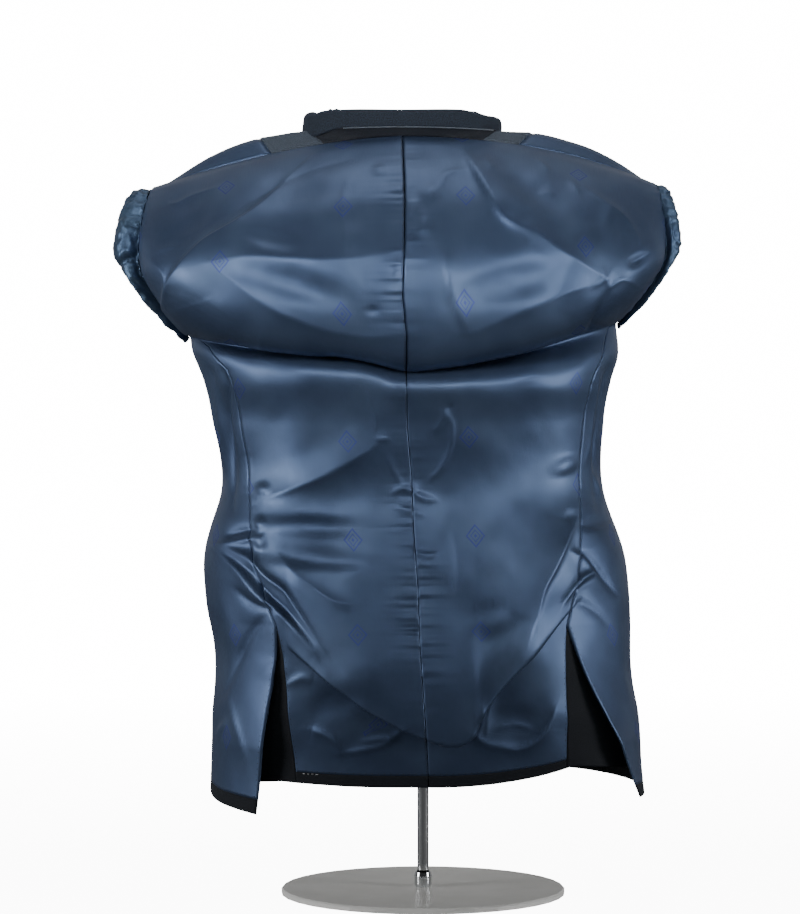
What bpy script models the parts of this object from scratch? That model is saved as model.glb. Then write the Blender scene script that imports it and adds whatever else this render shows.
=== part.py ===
"""A sport coat worn inside out on a limbless dress form, which stands on a pole and a round base.

Metres, +Z up. The origin is the middle of the base's underside. The wearer would face +Y, so the
coat's back is at -Y, and -X is its left side as seen from behind. The satin lining faces out.
"""

from math import asin, cos, exp, floor, hypot, pi, radians, sin

import bmesh
import bpy
from mathutils import Vector

LEFT, RIGHT = -1, 1
SIDES = {"left": LEFT, "right": RIGHT}

# Cloth walls: the panels are lining and shell together, the sleeves lining alone.
PANEL_WALL = 0.0024
SLEEVE_WALL = 0.0015
COLLAR_WALL = 0.0026
SEAM_GAP = 0.0003
MITRE_LEAST = 0.35  # keeps a sharp corner of a panel from being drawn in too far
SMOOTH_ANGLE = 40  # degrees between faces, past which an edge stays sharp

NAVY_SATIN = (0.012, 0.035, 0.075, 1)
DARK_SUITING = (0.018, 0.020, 0.026, 1)
JERSEY = (0.62, 0.60, 0.57, 1)
CHROME = (0.80, 0.80, 0.80, 1)
WHITE_COAT = (0.80, 0.80, 0.80, 1)
SATIN_ROUGHNESS = 0.35
SUITING_ROUGHNESS = 0.85
JERSEY_ROUGHNESS = 0.9
CHROME_ROUGHNESS = 0.12
COAT_ROUGHNESS = 0.4

# The coat leans: where its centre line lies at each height.
LEAN = (
    # z, x
    (0.12, 0.005),
    (0.34, -0.008),
    (0.55, -0.020),
    (0.83, -0.022),
)

# The back's rows, bottom to top: the curve from the centre back to the side or armhole.
BACK_ROWS = (
    # centre_y, centre_z, roundness, left_fall, right_fall
    (-0.150, 0.1277, 2.4, 2.0, 2.0),  # hem
    (-0.160, 0.190, 2.4, 2.0, 2.0),
    (-0.168, 0.260, 2.4, 2.0, 2.0),
    (-0.162, 0.345, 2.4, 2.0, 2.0),  # hip
    (-0.148, 0.430, 2.3, 2.0, 2.0),  # waist
    (-0.156, 0.490, 2.3, 2.0, 2.0),
    (-0.166, 0.520, 2.4, 1.8, 1.8),
    (-0.156, 0.541, 2.4, 1.8, 1.8),
    (-0.136, 0.552, 2.4, 1.8, 1.8),  # deep crease
    (-0.168, 0.5485, 2.6, 1.8, 1.8),  # lower edge of the upper lobe
    (-0.189, 0.568, 2.8, 1.8, 1.8),
    (-0.198, 0.612, 2.8, 1.6, 1.6),
    (-0.192, 0.662, 2.5, 1.5, 1.6),
    (-0.166, 0.712, 2.1, 1.6, 1.8),
    (-0.131, 0.752, 1.7, 1.6, 2.0),
    (-0.099, 0.778, 1.4, 1.6, 2.2),
    (-0.078, 0.7925, 1.2, 1.7, 2.4),  # shoulder seam
)
CREASE_ROWS = (6, 7, 8, 9, 10)
CREASE_ARCH = 0.009  # how far the left half of the crease arches up, a third of the way to the side
CREASE_ARCH_AT = 0.28
UNDERARM_ROW = 8
SEAM_ROW = 16

# The side edge of rows 0 to 7, where the back meets the front.
SIDE_EDGE = (
    # left_x, right_x, z
    (-0.225, 0.232, 0.113),
    (-0.223, 0.227, 0.175),
    (-0.220, 0.219, 0.250),
    (-0.232, 0.2145, 0.350),
    (-0.213, 0.190, 0.430),
    (-0.221, 0.191, 0.500),
    (-0.231, 0.198, 0.540),
    (-0.243, 0.206, 0.570),
)

# Each armhole is an upright oval, and its angle at the rows from the underarm up.
ARMHOLE = {
    # low_x, middle_x, top_x, centre_z, half_height, half_depth
    LEFT: (-0.246, -0.296, -0.287, 0.6665, 0.0795, 0.055),
    RIGHT: (0.204, 0.252, 0.246, 0.6760, 0.0745, 0.055),
}
ARMHOLE_ANGLES = (-90, -75, -58, -35, -10, 15, 40, 65, 90)

# The coat's finished edge, from the centre back of the neck round to the front hem.
EDGE_LINE = (
    # across, y, z
    (0.000, -0.083, 0.8015),  # centre back of the neck
    (0.045, -0.077, 0.8015),
    (0.080, -0.058, 0.8020),
    (0.100, -0.030, 0.8035),
    (0.105, 0.004, 0.8030),  # side of the neck
    (0.100, 0.036, 0.7920),
    (0.092, 0.064, 0.7680),
    (0.082, 0.090, 0.7300),
    (0.066, 0.112, 0.6700),
    (0.048, 0.126, 0.6000),
    (0.030, 0.132, 0.5300),
    (0.012, 0.130, 0.4600),
    (0.005, 0.127, 0.4000),  # buttoning point
    (0.007, 0.136, 0.3200),
    (0.016, 0.144, 0.2400),
    (0.036, 0.149, 0.1750),
    (0.075, 0.147, 0.1200),  # front hem
)
NECK_BACK_LEAST = -0.02  # the neck band's wall turns backwards from here on,
NECK_BACK_SHARE = 1.3  # and a little more than square to its edge
NECK_END = 2.9  # where the shoulder seam reaches the neck, as a place on EDGE_LINE
BACK_COLUMNS = 12  # steps of the back lining from the centre to its side seam
ARM_COLUMNS = 4  # and from there to the armhole or, on the side panel, to the side
NECK_COLUMNS = 3
UNDERARM_SHARE = 0.80  # share of the crease row where the side seam ends
NECK_SHARE = UNDERARM_SHARE * NECK_COLUMNS / BACK_COLUMNS  # share of the top row where the shoulder starts

# The front's rows: where each starts on the finished edge, and the curve from there to the side.
FRONT_ROWS = (
    # edge_place, roundness, left_fall, right_fall
    (16.0, 2.3, 2.0, 2.0),
    (15.0, 2.3, 2.0, 2.0),
    (14.0, 2.3, 2.0, 2.0),
    (13.0, 2.3, 2.0, 2.0),
    (12.3, 2.3, 2.0, 2.0),
    (11.6, 2.3, 2.0, 2.0),
    (11.0, 2.3, 2.0, 2.0),
    (10.5, 2.3, 2.0, 2.0),
    (10.1, 2.3, 2.0, 2.0),
    (9.7, 2.3, 1.8, 1.8),
    (9.3, 2.3, 1.6, 1.6),
    (8.6, 2.2, 1.5, 1.5),
    (7.7, 2.1, 1.6, 1.6),
    (6.6, 2.0, 1.8, 1.8),
    (5.2, 1.8, 2.0, 2.3),
    (3.6, 1.5, 2.05, 2.5),  # ridge of the shoulder
)

# Largest folds of the back: soft ridges (+) and troughs (-) from one point to another. Each rises from its
# start and sinks to its end along the part of a sine wave between these shares, and all sink to nothing
# over the last share of a row, before its edge.
FOLD_START, FOLD_END = 0.12, 0.88
EDGE_KEEP = 0.12
BACK_FOLDS = (
    # start_x, start_z, end_x, end_z, width, height
    (-0.140, 0.765, -0.255, 0.640, 0.028, 0.006),
    (0.040, 0.770, 0.135, 0.655, 0.024, 0.005),
    (0.205, 0.690, 0.155, 0.600, 0.022, -0.008),
    (-0.160, 0.420, -0.050, 0.468, 0.020, 0.004),
    (-0.200, 0.355, -0.090, 0.225, 0.022, 0.005),
    (-0.205, 0.372, -0.165, 0.372, 0.016, -0.004),
    (0.165, 0.365, 0.195, 0.310, 0.016, -0.004),
)

# The pouch of loose lining that sags to a V across the lower back.
POUCH_LOW = (0.012, 0.184)  # x and z of the bottom of the V
POUCH_SLOPE = {LEFT: 0.60, RIGHT: 0.88}
POUCH_REACH = 0.150
POUCH_DEPTH = 0.020
POUCH_LIP = 0.022
POUCH_HEIGHT = 0.075

# The side panels' back seam, and the vents below it, as shares of a back row from centre to side.
SIDE_SEAM = {
    # row, share at the left, share at the right
    "underarm": (8.0, UNDERARM_SHARE, UNDERARM_SHARE),
    "below": (7.4, 0.70, 0.74),
    "chest": (6.4, 0.64, 0.70),
    "waist": (4.0, 0.63, 0.65),
    "vent_top": (2.4, 0.45, 0.465),
    "hem": (0.0, 0.52, 0.70),
}
LINING_AT_HEM = {LEFT: 0.380, RIGHT: 0.420}  # share where the back lining ends at the hem
FACING_AT_HEM = {LEFT: 0.600, RIGHT: 0.780}  # and its vent facing, under the side panel
SEAM_TURN_ROW = 7.2
VENT_ROW = 2.4
VENT_FLARE = {LEFT: 0.016, RIGHT: 0.020}
VENT_OPENING = 1.6  # how fast the flare grows below the vent's top
VENT_FACING_TOP = VENT_ROW - 0.3
VENT_COLUMNS = 4
BACK_HEM_RISE = {LEFT: 0.010, RIGHT: 0.026}
RISE_ROW = 1.5  # the hem's rise and the flap's drop are nothing from this row up
RISE_SHARE = 0.45  # the hem has risen all the way at this share of its row
FLAP_DROP = {LEFT: 0.020, RIGHT: 0.004}
FRONT_SEAM = ((8.0, 0.84), (6.5, 0.62), (0.0, 0.58))  # row, share of a front row
FACING_SHARE = (
    # row, share at the left, share at the right
    (16.0, 0.18, 0.12),
    (15.0, 0.19, 0.13),
    (12.0, 0.30, 0.30),
    (8.0, 0.28, 0.30),
    (0.0, 0.27, 0.27),
)
FRONT_COLUMNS = 5
FACING_COLUMNS = 5
CREASE_TRIM = 0.0012  # the side panels are drawn in by this where they meet the others in the deep crease
RIDGE_TRIM = 0.0004  # and the front linings where their seam crosses the ridge of the shoulder
HEM_ROW = 0.20  # the turned-up hems reach this row

# The rows at which each sheet has points: close together at the hem, the pouch and the deep crease.
ROWS = (
    *(0.0, 0.2, 0.6, 1.0, 1.35, 1.7, 2.05, 2.4),
    *(3.0, 3.6, 4.2, 4.9, 5.6, 6.2, 6.7, 7.1, 7.4, 7.7, 8.0),
    *(8.35, 8.7, 9.05, 9.5, 10.0, 10.7, 11.5, 12.3, 13.1, 13.9, 14.6, 15.0, 15.5, 16.0),
)

# How far apart the points are that a surface's slope is taken from.
CLOSE_SHARE, CLOSE_ROW = 0.004, 0.02

SLEEVE_SEGMENTS = 32
GATHERS = 11
PUFF = (
    # outward, inset, gather
    (0.0034, 0.0036, 0.0000),
    (0.0085, 0.0000, 0.0010),
    (0.0160, -0.0030, 0.0020),
    (0.0250, -0.0020, 0.0024),
    (0.0305, 0.0055, 0.0024),
    (0.0320, 0.0130, 0.0022),
    (0.0270, 0.0200, 0.0018),
    (0.0140, 0.0250, 0.0012),
    (-0.0020, 0.0280, 0.0004),
)
PUFF_REACH = {LEFT: 0.92, RIGHT: 0.56}
PUFF_SHARE = ((-1.0, 0.35), (-0.6, 0.64), (-0.25, 0.70), (0.15, 1.0), (1.0, 1.0))  # rise, share of the reach
PUFF_TOP_INSET = 0.009  # how far the head's top is drawn in
PUFF_FULL_OUT = 0.025  # and how far out that is so in full
GATHER_OUT = 0.6  # how far the gathers stand outward for each metre that they stand away
SLEEVE_RUN = {
    # x, y, z, turn in degrees, half_gap, half_height, lean
    LEFT: (
        (-0.270, -0.008, 0.664, 12, 0.0220, 0.0440, 0.00),
        (-0.247, -0.034, 0.662, 38, 0.0160, 0.0480, 0.05),
        (-0.216, -0.078, 0.660, 50, 0.0090, 0.0520, 0.15),
        (-0.172, -0.120, 0.658, 38, 0.0040, 0.0550, 0.25),
        (-0.115, -0.151, 0.657, 18, 0.0016, 0.0570, 0.30),
        (-0.040, -0.162, 0.656, 2, 0.0014, 0.0580, 0.30),
        (0.040, -0.160, 0.656, -4, 0.0014, 0.0580, 0.30),
        (0.100, -0.151, 0.657, -12, 0.0014, 0.0570, 0.30),
    ),
    RIGHT: (
        (0.228, -0.008, 0.668, 12, 0.0220, 0.0430, 0.00),
        (0.208, -0.032, 0.666, 38, 0.0160, 0.0470, 0.05),
        (0.182, -0.068, 0.664, 46, 0.0090, 0.0510, 0.15),
        (0.140, -0.102, 0.661, 34, 0.0040, 0.0540, 0.25),
        (0.085, -0.124, 0.659, 12, 0.0016, 0.0560, 0.30),
        (0.020, -0.131, 0.658, 2, 0.0014, 0.0570, 0.30),
        (-0.045, -0.130, 0.658, -4, 0.0014, 0.0570, 0.30),
        (-0.100, -0.122, 0.659, -10, 0.0014, 0.0560, 0.30),
    ),
}

# The collar's section, up the stand, over the roll and down the fall inside.
COLLAR_SECTION = (
    # out, up
    (0.0000, 0.0004),
    (0.0006, 0.0080),
    (0.0000, 0.0150),
    (-0.0016, 0.0184),
    (-0.0048, 0.0200),
    (-0.0084, 0.0186),
    (-0.0104, 0.0145),
    (-0.0112, 0.0040),
    (-0.0120, -0.0070),
    (-0.0126, -0.0180),
)
COLLAR_TOP = max(up for out, up in COLLAR_SECTION)
COLLAR_DROP = {LEFT: 0.0, RIGHT: 0.005}  # its top falls off by this past the side of the neck
COLLAR_DROP_FROM = 1.5
COLLAR_END = 5.6  # place on EDGE_LINE
COLLAR_STEPS = 28

LAPEL_ROWS = (6.4, 6.8, 7.4, 8.0, 8.6, 9.2, 10.0, 10.6, 11.3, 12.0, 12.7, 13.4)
LAPEL_WIDTH = ((6.4, 0.03), (9.2, 0.14), (12.3, 0.25), (13.4, 0.19))  # row, share of a front row
LAPEL_INSET = 0.0044

LAPEL_START = 0.006  # share of a front row, just inside the coat's edge
LAPEL_COLUMNS = 4
ALONG_STEP = 0.02  # of the edge line's places, for the way the collar runs

FORM_SEGMENTS = 28
FORM_ROWS = (
    # z, half_width, back, front, roundness
    (0.156, 0.148, 0.090, 0.090, 2.2),
    (0.160, 0.157, 0.098, 0.098, 2.2),
    (0.175, 0.164, 0.104, 0.104, 2.2),
    (0.250, 0.168, 0.112, 0.106, 2.2),
    (0.330, 0.162, 0.108, 0.100, 2.2),
    (0.400, 0.148, 0.092, 0.092, 2.2),
    (0.450, 0.142, 0.086, 0.092, 2.2),
    (0.520, 0.152, 0.092, 0.100, 2.2),
    (0.590, 0.167, 0.100, 0.104, 2.3),
    (0.650, 0.178, 0.104, 0.100, 2.4),
    (0.695, 0.186, 0.100, 0.086, 2.3),
    (0.725, 0.184, 0.088, 0.070, 2.2),
    (0.745, 0.168, 0.076, 0.058, 2.1),
    (0.758, 0.140, 0.068, 0.052, 2.0),
    (0.768, 0.104, 0.063, 0.050, 2.0),
    (0.776, 0.074, 0.059, 0.050, 2.0),
    (0.788, 0.060, 0.055, 0.050, 2.0),
    (0.802, 0.056, 0.053, 0.050, 2.0),
    (0.806, 0.050, 0.048, 0.045, 2.0),
)
POLE_RADIUS = 0.006
POLE_TOP = 0.210
BORE_RADIUS = 0.0064
BORE_TOP = 0.212
BASE_RADIUS = 0.150
BASE_THICKNESS = 0.006
SOCKET_RADIUS = 0.0092
SOCKET_TOP = 0.0235
BASE_EDGE = 0.0015
ROUND_SEGMENTS = 36
POLE_SEGMENTS = 24
SOCKET_FOOT = BASE_THICKNESS + SEAM_GAP
SOCKET_PROFILE = (
    # radius, z
    (BORE_RADIUS, SOCKET_FOOT),
    (SOCKET_RADIUS - 0.0012, SOCKET_FOOT),
    (SOCKET_RADIUS, SOCKET_FOOT + 0.003),
    (SOCKET_RADIUS, SOCKET_TOP - 0.006),
    (SOCKET_RADIUS - 0.0009, SOCKET_TOP - 0.002),
    (BORE_RADIUS + 0.0008, SOCKET_TOP),
    (BORE_RADIUS, SOCKET_TOP - 0.0004),
)


def clear_scene():
    for thing in list(bpy.data.objects):
        bpy.data.objects.remove(thing, do_unlink=True)


def between(low, high, share):
    return low + (high - low) * share


def read_table(table, place, column=1):
    """The column's value at this place, straight between the rows, which rise or fall in column 0."""
    rows = sorted(table)
    for low, high in zip(rows, rows[1:]):
        if place <= high[0]:
            share = max(0.0, (place - low[0]) / (high[0] - low[0]))
            return between(low[column], high[column], share)
    return rows[-1][column]


def smooth_through(points, place):
    """A point on the smooth curve through the points, which are one step of `place` apart."""
    last = len(points) - 1
    k = min(max(floor(place), 0), last - 1)
    t = place - k
    p1, p2 = points[k], points[k + 1]
    p0 = points[k - 1] if k > 0 else p1 * 2 - p2
    p3 = points[k + 2] if k + 2 <= last else p2 * 2 - p1
    return 0.5 * (
        p1 * 2 + (p2 - p0) * t + (p0 * 2 - p1 * 5 + p2 * 4 - p3) * t * t + (p1 * 3 - p0 - p2 * 3 + p3) * t**3
    )


def lean(z):
    return read_table(LEAN, z)


def edge_line(side, place):
    """The coat's finished edge on one side; place 0 is the centre back of the neck."""
    points = [Vector((lean(z) + side * across, y, z)) for across, y, z in EDGE_LINE]
    if place < 1:
        other = Vector((lean(EDGE_LINE[1][2]) - side * EDGE_LINE[1][0], *EDGE_LINE[1][1:]))
        return smooth_through([other, *points], place + 1)
    return smooth_through(points, place)


def armhole(side, angle, facing):
    """A point on the armhole seam; facing is -1 on the back half and 1 on the front half."""
    low_x, middle_x, top_x, centre_z, half_height, half_depth = ARMHOLE[side]
    rise = sin(angle)
    end_x = top_x if rise > 0 else low_x
    x = between(middle_x, end_x, abs(rise) ** 1.5)
    return Vector((x, facing * half_depth * cos(angle), centre_z + half_height * rise))


def row_edge(side, row, facing):
    if row < UNDERARM_ROW:
        left_x, right_x, z = SIDE_EDGE[row]
        return Vector((left_x if side == LEFT else right_x, 0.0, z))
    return armhole(side, radians(ARMHOLE_ANGLES[row - UNDERARM_ROW]), facing)


def row_curve(inner, edge, share, roundness, fall):
    """A point from the inner end (share 0) to the edge (share 1), square to the edge where it ends."""
    across = sin(share * pi / 2)
    depth = max(0.0, 1 - across**roundness) ** (1 / roundness)
    return Vector(
        (
            between(inner.x, edge.x, across),
            between(edge.y, inner.y, depth),
            between(inner.z, edge.z, across**fall),
        )
    )


def back_row(side, row, share):
    y, z, roundness, *falls = BACK_ROWS[row]
    fall = falls[0 if side == LEFT else 1]
    point = row_curve(Vector((lean(z), y, z)), row_edge(side, row, -1), share, roundness, fall)
    if side == LEFT and row in CREASE_ROWS:
        along = sin(share * pi / 2) / CREASE_ARCH_AT
        point.z += CREASE_ARCH * (along * exp(1 - along)) ** 2
    return point


def front_row(side, row, share):
    if row == SEAM_ROW:
        return back_row(side, row, between(NECK_SHARE, 1.0, share))
    place, roundness, *falls = FRONT_ROWS[row]
    fall = falls[0 if side == LEFT else 1]
    return row_curve(edge_line(side, place), row_edge(side, row, 1), share, roundness, fall)


def fold_height(x, z):
    """How far the largest folds lift the cloth at this place of the back."""
    total = 0.0
    for start_x, start_z, end_x, end_z, width, height in BACK_FOLDS:
        run_x, run_z = end_x - start_x, end_z - start_z
        length = hypot(run_x, run_z)
        along = ((x - start_x) * run_x + (z - start_z) * run_z) / length**2
        nearest = min(max(along, 0.0), 1.0)
        away = hypot(x - start_x - nearest * run_x, z - start_z - nearest * run_z)
        total += height * exp(-((away / width) ** 2)) * sin(pi * between(FOLD_START, FOLD_END, nearest))
    return total


def pouch_height(x, z):
    """How far the pouch lifts the cloth at this place of the back."""
    low_x, low_z = POUCH_LOW
    away = abs(x - low_x)
    if away >= POUCH_REACH:
        return 0.0
    slope = POUCH_SLOPE[LEFT if x < low_x else RIGHT]
    above = (z - low_z - slope * away) / POUCH_LIP
    lip = min(max(above + 0.5, 0.0), 1.0)
    lip = lip * lip * (3 - 2 * lip)
    fade = exp(-((max(above, 0.0) * POUCH_LIP / POUCH_HEIGHT) ** 2))
    return POUCH_DEPTH * lip * fade * (1 - (away / POUCH_REACH) ** 2)


def back_point(side, share, row):
    rows = [back_row(side, k, share) for k in range(len(BACK_ROWS))]
    point = smooth_through(rows, row)
    keep = min(max((1 - share) / EDGE_KEEP, 0.0), 1.0)
    point.y -= keep * (fold_height(point.x, point.z) + pouch_height(point.x, point.z))
    return point


def front_point(side, share, row):
    rows = [front_row(side, k, share) for k in range(SEAM_ROW + 1)]
    point = smooth_through(rows, row)
    if row > SEAM_ROW - 1:
        point += neck_pull(side, row) * (1 - share) ** 3
    return point


def neck_pull(side, row):
    """What brings the front's inner edge back to the neckline between the ridge and the shoulder seam."""
    seam_start = front_row(side, SEAM_ROW, 0.0)
    turn = SEAM_ROW - 0.5
    if row <= turn:
        target = edge_line(side, between(NECK_END, FRONT_ROWS[-1][0], 2 * (turn - row)))
    else:
        target = edge_line(side, NECK_END).lerp(seam_start, 2 * (row - turn))
    inner = [front_row(side, k, 0.0) for k in range(SEAM_ROW + 1)]
    return target - smooth_through(inner, row)


def slope_normal(point_at, side, share, row):
    """The outward normal of a surface at this place, from points close by."""
    low_share, high_share = max(share - CLOSE_SHARE, 0.0), min(share + CLOSE_SHARE, 1.0)
    low_row, high_row = max(row - CLOSE_ROW, 0.0), min(row + CLOSE_ROW, float(SEAM_ROW))
    along = point_at(side, high_share, row) - point_at(side, low_share, row)
    up = point_at(side, share, high_row) - point_at(side, share, low_row)
    return along.cross(up).normalized()


def back_normal(side, share, row):
    return slope_normal(back_point, side, share, row) * side


def front_normal(side, share, row):
    return slope_normal(front_point, side, share, row) * -side


class Skin:
    """Points and outward normals of one side of the coat's body, shared by the panels that meet."""

    def __init__(self, side):
        self.side = side

    def back(self, share, row):
        normal = back_normal(self.side, share, row)
        if share == 0.0:
            normal = normal + back_normal(-self.side, 0.0, row)
        if share == 1.0 and row <= UNDERARM_ROW:
            normal = normal + front_normal(self.side, 1.0, row)
        if row == SEAM_ROW and share >= NECK_SHARE:
            front_share = (share - NECK_SHARE) / (1 - NECK_SHARE)
            normal = normal + front_normal(self.side, front_share, row)
        return back_point(self.side, share, row), normal.normalized()

    def front(self, share, row):
        normal = front_normal(self.side, share, row)
        if share == 1.0 and row <= UNDERARM_ROW:
            normal = normal + back_normal(self.side, 1.0, row)
        if row == SEAM_ROW:
            normal = normal + back_normal(self.side, between(NECK_SHARE, 1.0, share), row)
        return front_point(self.side, share, row), normal.normalized()


def material(name, colour, roughness, metallic=0.0):
    made = bpy.data.materials.new(name)
    made.use_nodes = True
    shader = made.node_tree.nodes["Principled BSDF"]
    shader.inputs["Base Color"].default_value = colour
    shader.inputs["Roughness"].default_value = roughness
    shader.inputs["Metallic"].default_value = metallic
    return made


def satin(name):
    return material(name + "_satin", NAVY_SATIN, SATIN_ROUGHNESS)


def suiting(name):
    return material(name + "_suiting", DARK_SUITING, SUITING_ROUGHNESS)


def add_object(name, vertices, faces, look):
    mesh = bpy.data.meshes.new(name)
    mesh.from_pydata([tuple(v) for v in vertices], [], faces)
    made = bpy.data.objects.new(name, mesh)
    bpy.context.collection.objects.link(made)
    mesh.materials.append(look)
    mesh.shade_smooth()
    mesh.set_sharp_from_angle(angle=radians(SMOOTH_ANGLE))
    work = bmesh.new()
    work.from_mesh(mesh)
    bmesh.ops.recalc_face_normals(work, faces=work.faces)
    work.to_mesh(mesh)
    work.free()
    return made


def boundary_of(cells):
    """The open edges of a sheet of cells, each in the direction in which its cell runs."""
    directed = {(a, b) for cell in cells for a, b in zip(cell, cell[1:] + cell[:1])}
    return [(a, b) for a, b in directed if (b, a) not in directed]


def half_gap(key):
    return SEAM_GAP / 2


def cloth(name, sheet, cells, wall, look, trim=half_gap):
    """One closed cloth wall: the sheet, drawn in from its edge by `trim`, and its points moved inward."""
    keys = sorted({key for cell in cells for key in cell})
    turn = turn_of(sheet, cells)
    index = {key: n for n, key in enumerate(keys)}
    place = {key: sheet[key][0].copy() for key in keys}
    edges = boundary_of(cells)
    after = {a: b for a, b in edges}
    before = {b: a for a, b in edges}
    for a, b in edges:
        normal = sheet[a][1]
        here = sheet[a][0]
        pulls = []
        for start, end in ((before[a], a), (a, after[a])):
            run = sheet[end][0] - sheet[start][0]
            pull = run.cross(normal).normalized()
            pulls.append(pull)
        inside = pulls[0] + pulls[1]
        inside = inside / max(MITRE_LEAST, 1 + pulls[0].dot(pulls[1]))
        place[a] = here + inside * trim(a) * turn
    outer = [place[key] for key in keys]
    inner = [place[key] - sheet[key][1] * wall for key in keys]
    count = len(keys)
    faces = [[index[key] for key in cell] for cell in cells]
    faces += [[index[key] + count for key in reversed(cell)] for cell in cells]
    faces += [[index[b], index[a], index[a] + count, index[b] + count] for a, b in edges]
    return add_object(name, outer + inner, faces, look)


def turn_of(sheet, cells):
    """1 where a cell's own normal points against the sheet's outward normal, or -1."""
    a, b, c = (sheet[key][0] for key in cells[0][:3])
    return -1 if (b - a).cross(c - b).dot(sheet[cells[0][0]][1]) > 0 else 1


def grid_cells(columns, rows, keep=lambda column, row: True):
    return [
        [(i, j), (i + 1, j), (i + 1, j + 1), (i, j + 1)]
        for j in range(rows - 1)
        for i in range(columns - 1)
        if keep(i, j)
    ]


def seam_share(side, row):
    column = 1 if side == LEFT else 2
    return read_table(tuple(SIDE_SEAM.values()), row, column)


def lining_share(side, row):
    if row >= VENT_ROW:
        return seam_share(side, row)
    return between(LINING_AT_HEM[side], seam_share(side, VENT_ROW), row / VENT_ROW)


def facing_share(side, row):
    return between(FACING_AT_HEM[side], seam_share(side, VENT_ROW), row / VENT_ROW)


def low(row, reach):
    """1 at the hem, falling to 0 at this row."""
    return max(0.0, 1 - row / reach)


def hem_rise(side, share, row):
    return BACK_HEM_RISE[side] * min(1.0, (share / RISE_SHARE) ** 2) * low(row, RISE_ROW)


def back_sheet(skin, rows, first, last, columns):
    """The sheet between two lines on the back, each a function of side and row."""
    sheet = {}
    for j, row in enumerate(rows):
        start, end = first(skin.side, row), last(skin.side, row)
        for i in range(columns):
            share = between(start, end, i / (columns - 1))
            point, normal = skin.back(share, row)
            point.z += hem_rise(skin.side, share, row)
            sheet[i, j] = (point, normal)
    return sheet


def centre(side, row):
    """The back's centre line, where its rows start."""
    return 0.0


def build_back(word, skin):
    side = skin.side
    inner_columns = BACK_COLUMNS + 1
    columns = inner_columns + ARM_COLUMNS
    rows = [row for row in ROWS if row >= HEM_ROW]
    sheet = {}
    for j, row in enumerate(rows):
        seam = lining_share(side, row)
        for i in range(columns):
            if i < inner_columns:
                share = between(0.0, seam, i / (inner_columns - 1))
            else:
                share = between(seam, 1.0, (i - BACK_COLUMNS) / ARM_COLUMNS)
            if row < UNDERARM_ROW and i >= inner_columns:
                continue
            point, normal = skin.back(share, row)
            point.z += hem_rise(side, share, row)
            sheet[i, j] = (point, normal)
    under = rows.index(UNDERARM_ROW)
    cells = grid_cells(columns, len(rows), lambda i, j: i < inner_columns - 1 or j >= under)
    cloth(f"back_lining_{word}", sheet, cells, PANEL_WALL, satin(f"back_lining_{word}"))

    hem_rows = [row for row in ROWS if row <= HEM_ROW]
    hem = back_sheet(skin, hem_rows, centre, lining_share, inner_columns)
    cells = grid_cells(inner_columns, len(hem_rows))
    cloth(f"hem_back_{word}", hem, cells, PANEL_WALL, suiting(f"hem_back_{word}"))

    vent_rows = [row for row in ROWS if row <= VENT_FACING_TOP]
    facing = back_sheet(skin, vent_rows, lining_share, facing_share, VENT_COLUMNS)
    cells = grid_cells(VENT_COLUMNS, len(vent_rows))
    cloth(f"vent_facing_{word}", facing, cells, PANEL_WALL, suiting(f"vent_facing_{word}"))


def side_sheet(skin, rows):
    """The side panel from its back seam round to its front seam, flared out beside the vent."""
    side = skin.side
    columns = 2 * ARM_COLUMNS + 1
    sheet = {}
    for j, row in enumerate(rows):
        seam = seam_share(side, row)
        front_seam = read_table(FRONT_SEAM, row)
        for i in range(columns):
            if i <= ARM_COLUMNS:
                share = between(seam, 1.0, i / ARM_COLUMNS)
                point, normal = skin.back(share, row)
                near = 1 - i / ARM_COLUMNS
                open_part = min(1.0, low(row, VENT_ROW) * VENT_OPENING)
                point += normal * VENT_FLARE[side] * near * near * open_part
                point.z -= FLAP_DROP[side] * near * low(row, RISE_ROW)
            else:
                share = between(1.0, front_seam, (i - ARM_COLUMNS) / ARM_COLUMNS)
                point, normal = skin.front(share, row)
            sheet[i, j] = (point, normal)
    return sheet, columns


def build_side(word, skin):
    rows = [row for row in ROWS if HEM_ROW <= row <= UNDERARM_ROW]
    sheet, columns = side_sheet(skin, rows)
    cells = grid_cells(columns, len(rows))

    def trim(key):
        return CREASE_TRIM if rows[key[1]] > SEAM_TURN_ROW else half_gap(key)

    cloth(f"side_lining_{word}", sheet, cells, PANEL_WALL, satin(f"side_lining_{word}"), trim)
    hem_rows = [row for row in ROWS if row <= HEM_ROW]
    sheet, columns = side_sheet(skin, hem_rows)
    cells = grid_cells(columns, len(hem_rows))
    cloth(f"hem_side_{word}", sheet, cells, PANEL_WALL, suiting(f"hem_side_{word}"))


def facing_width(side, row):
    return read_table(FACING_SHARE, row, 1 if side == LEFT else 2)


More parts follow.
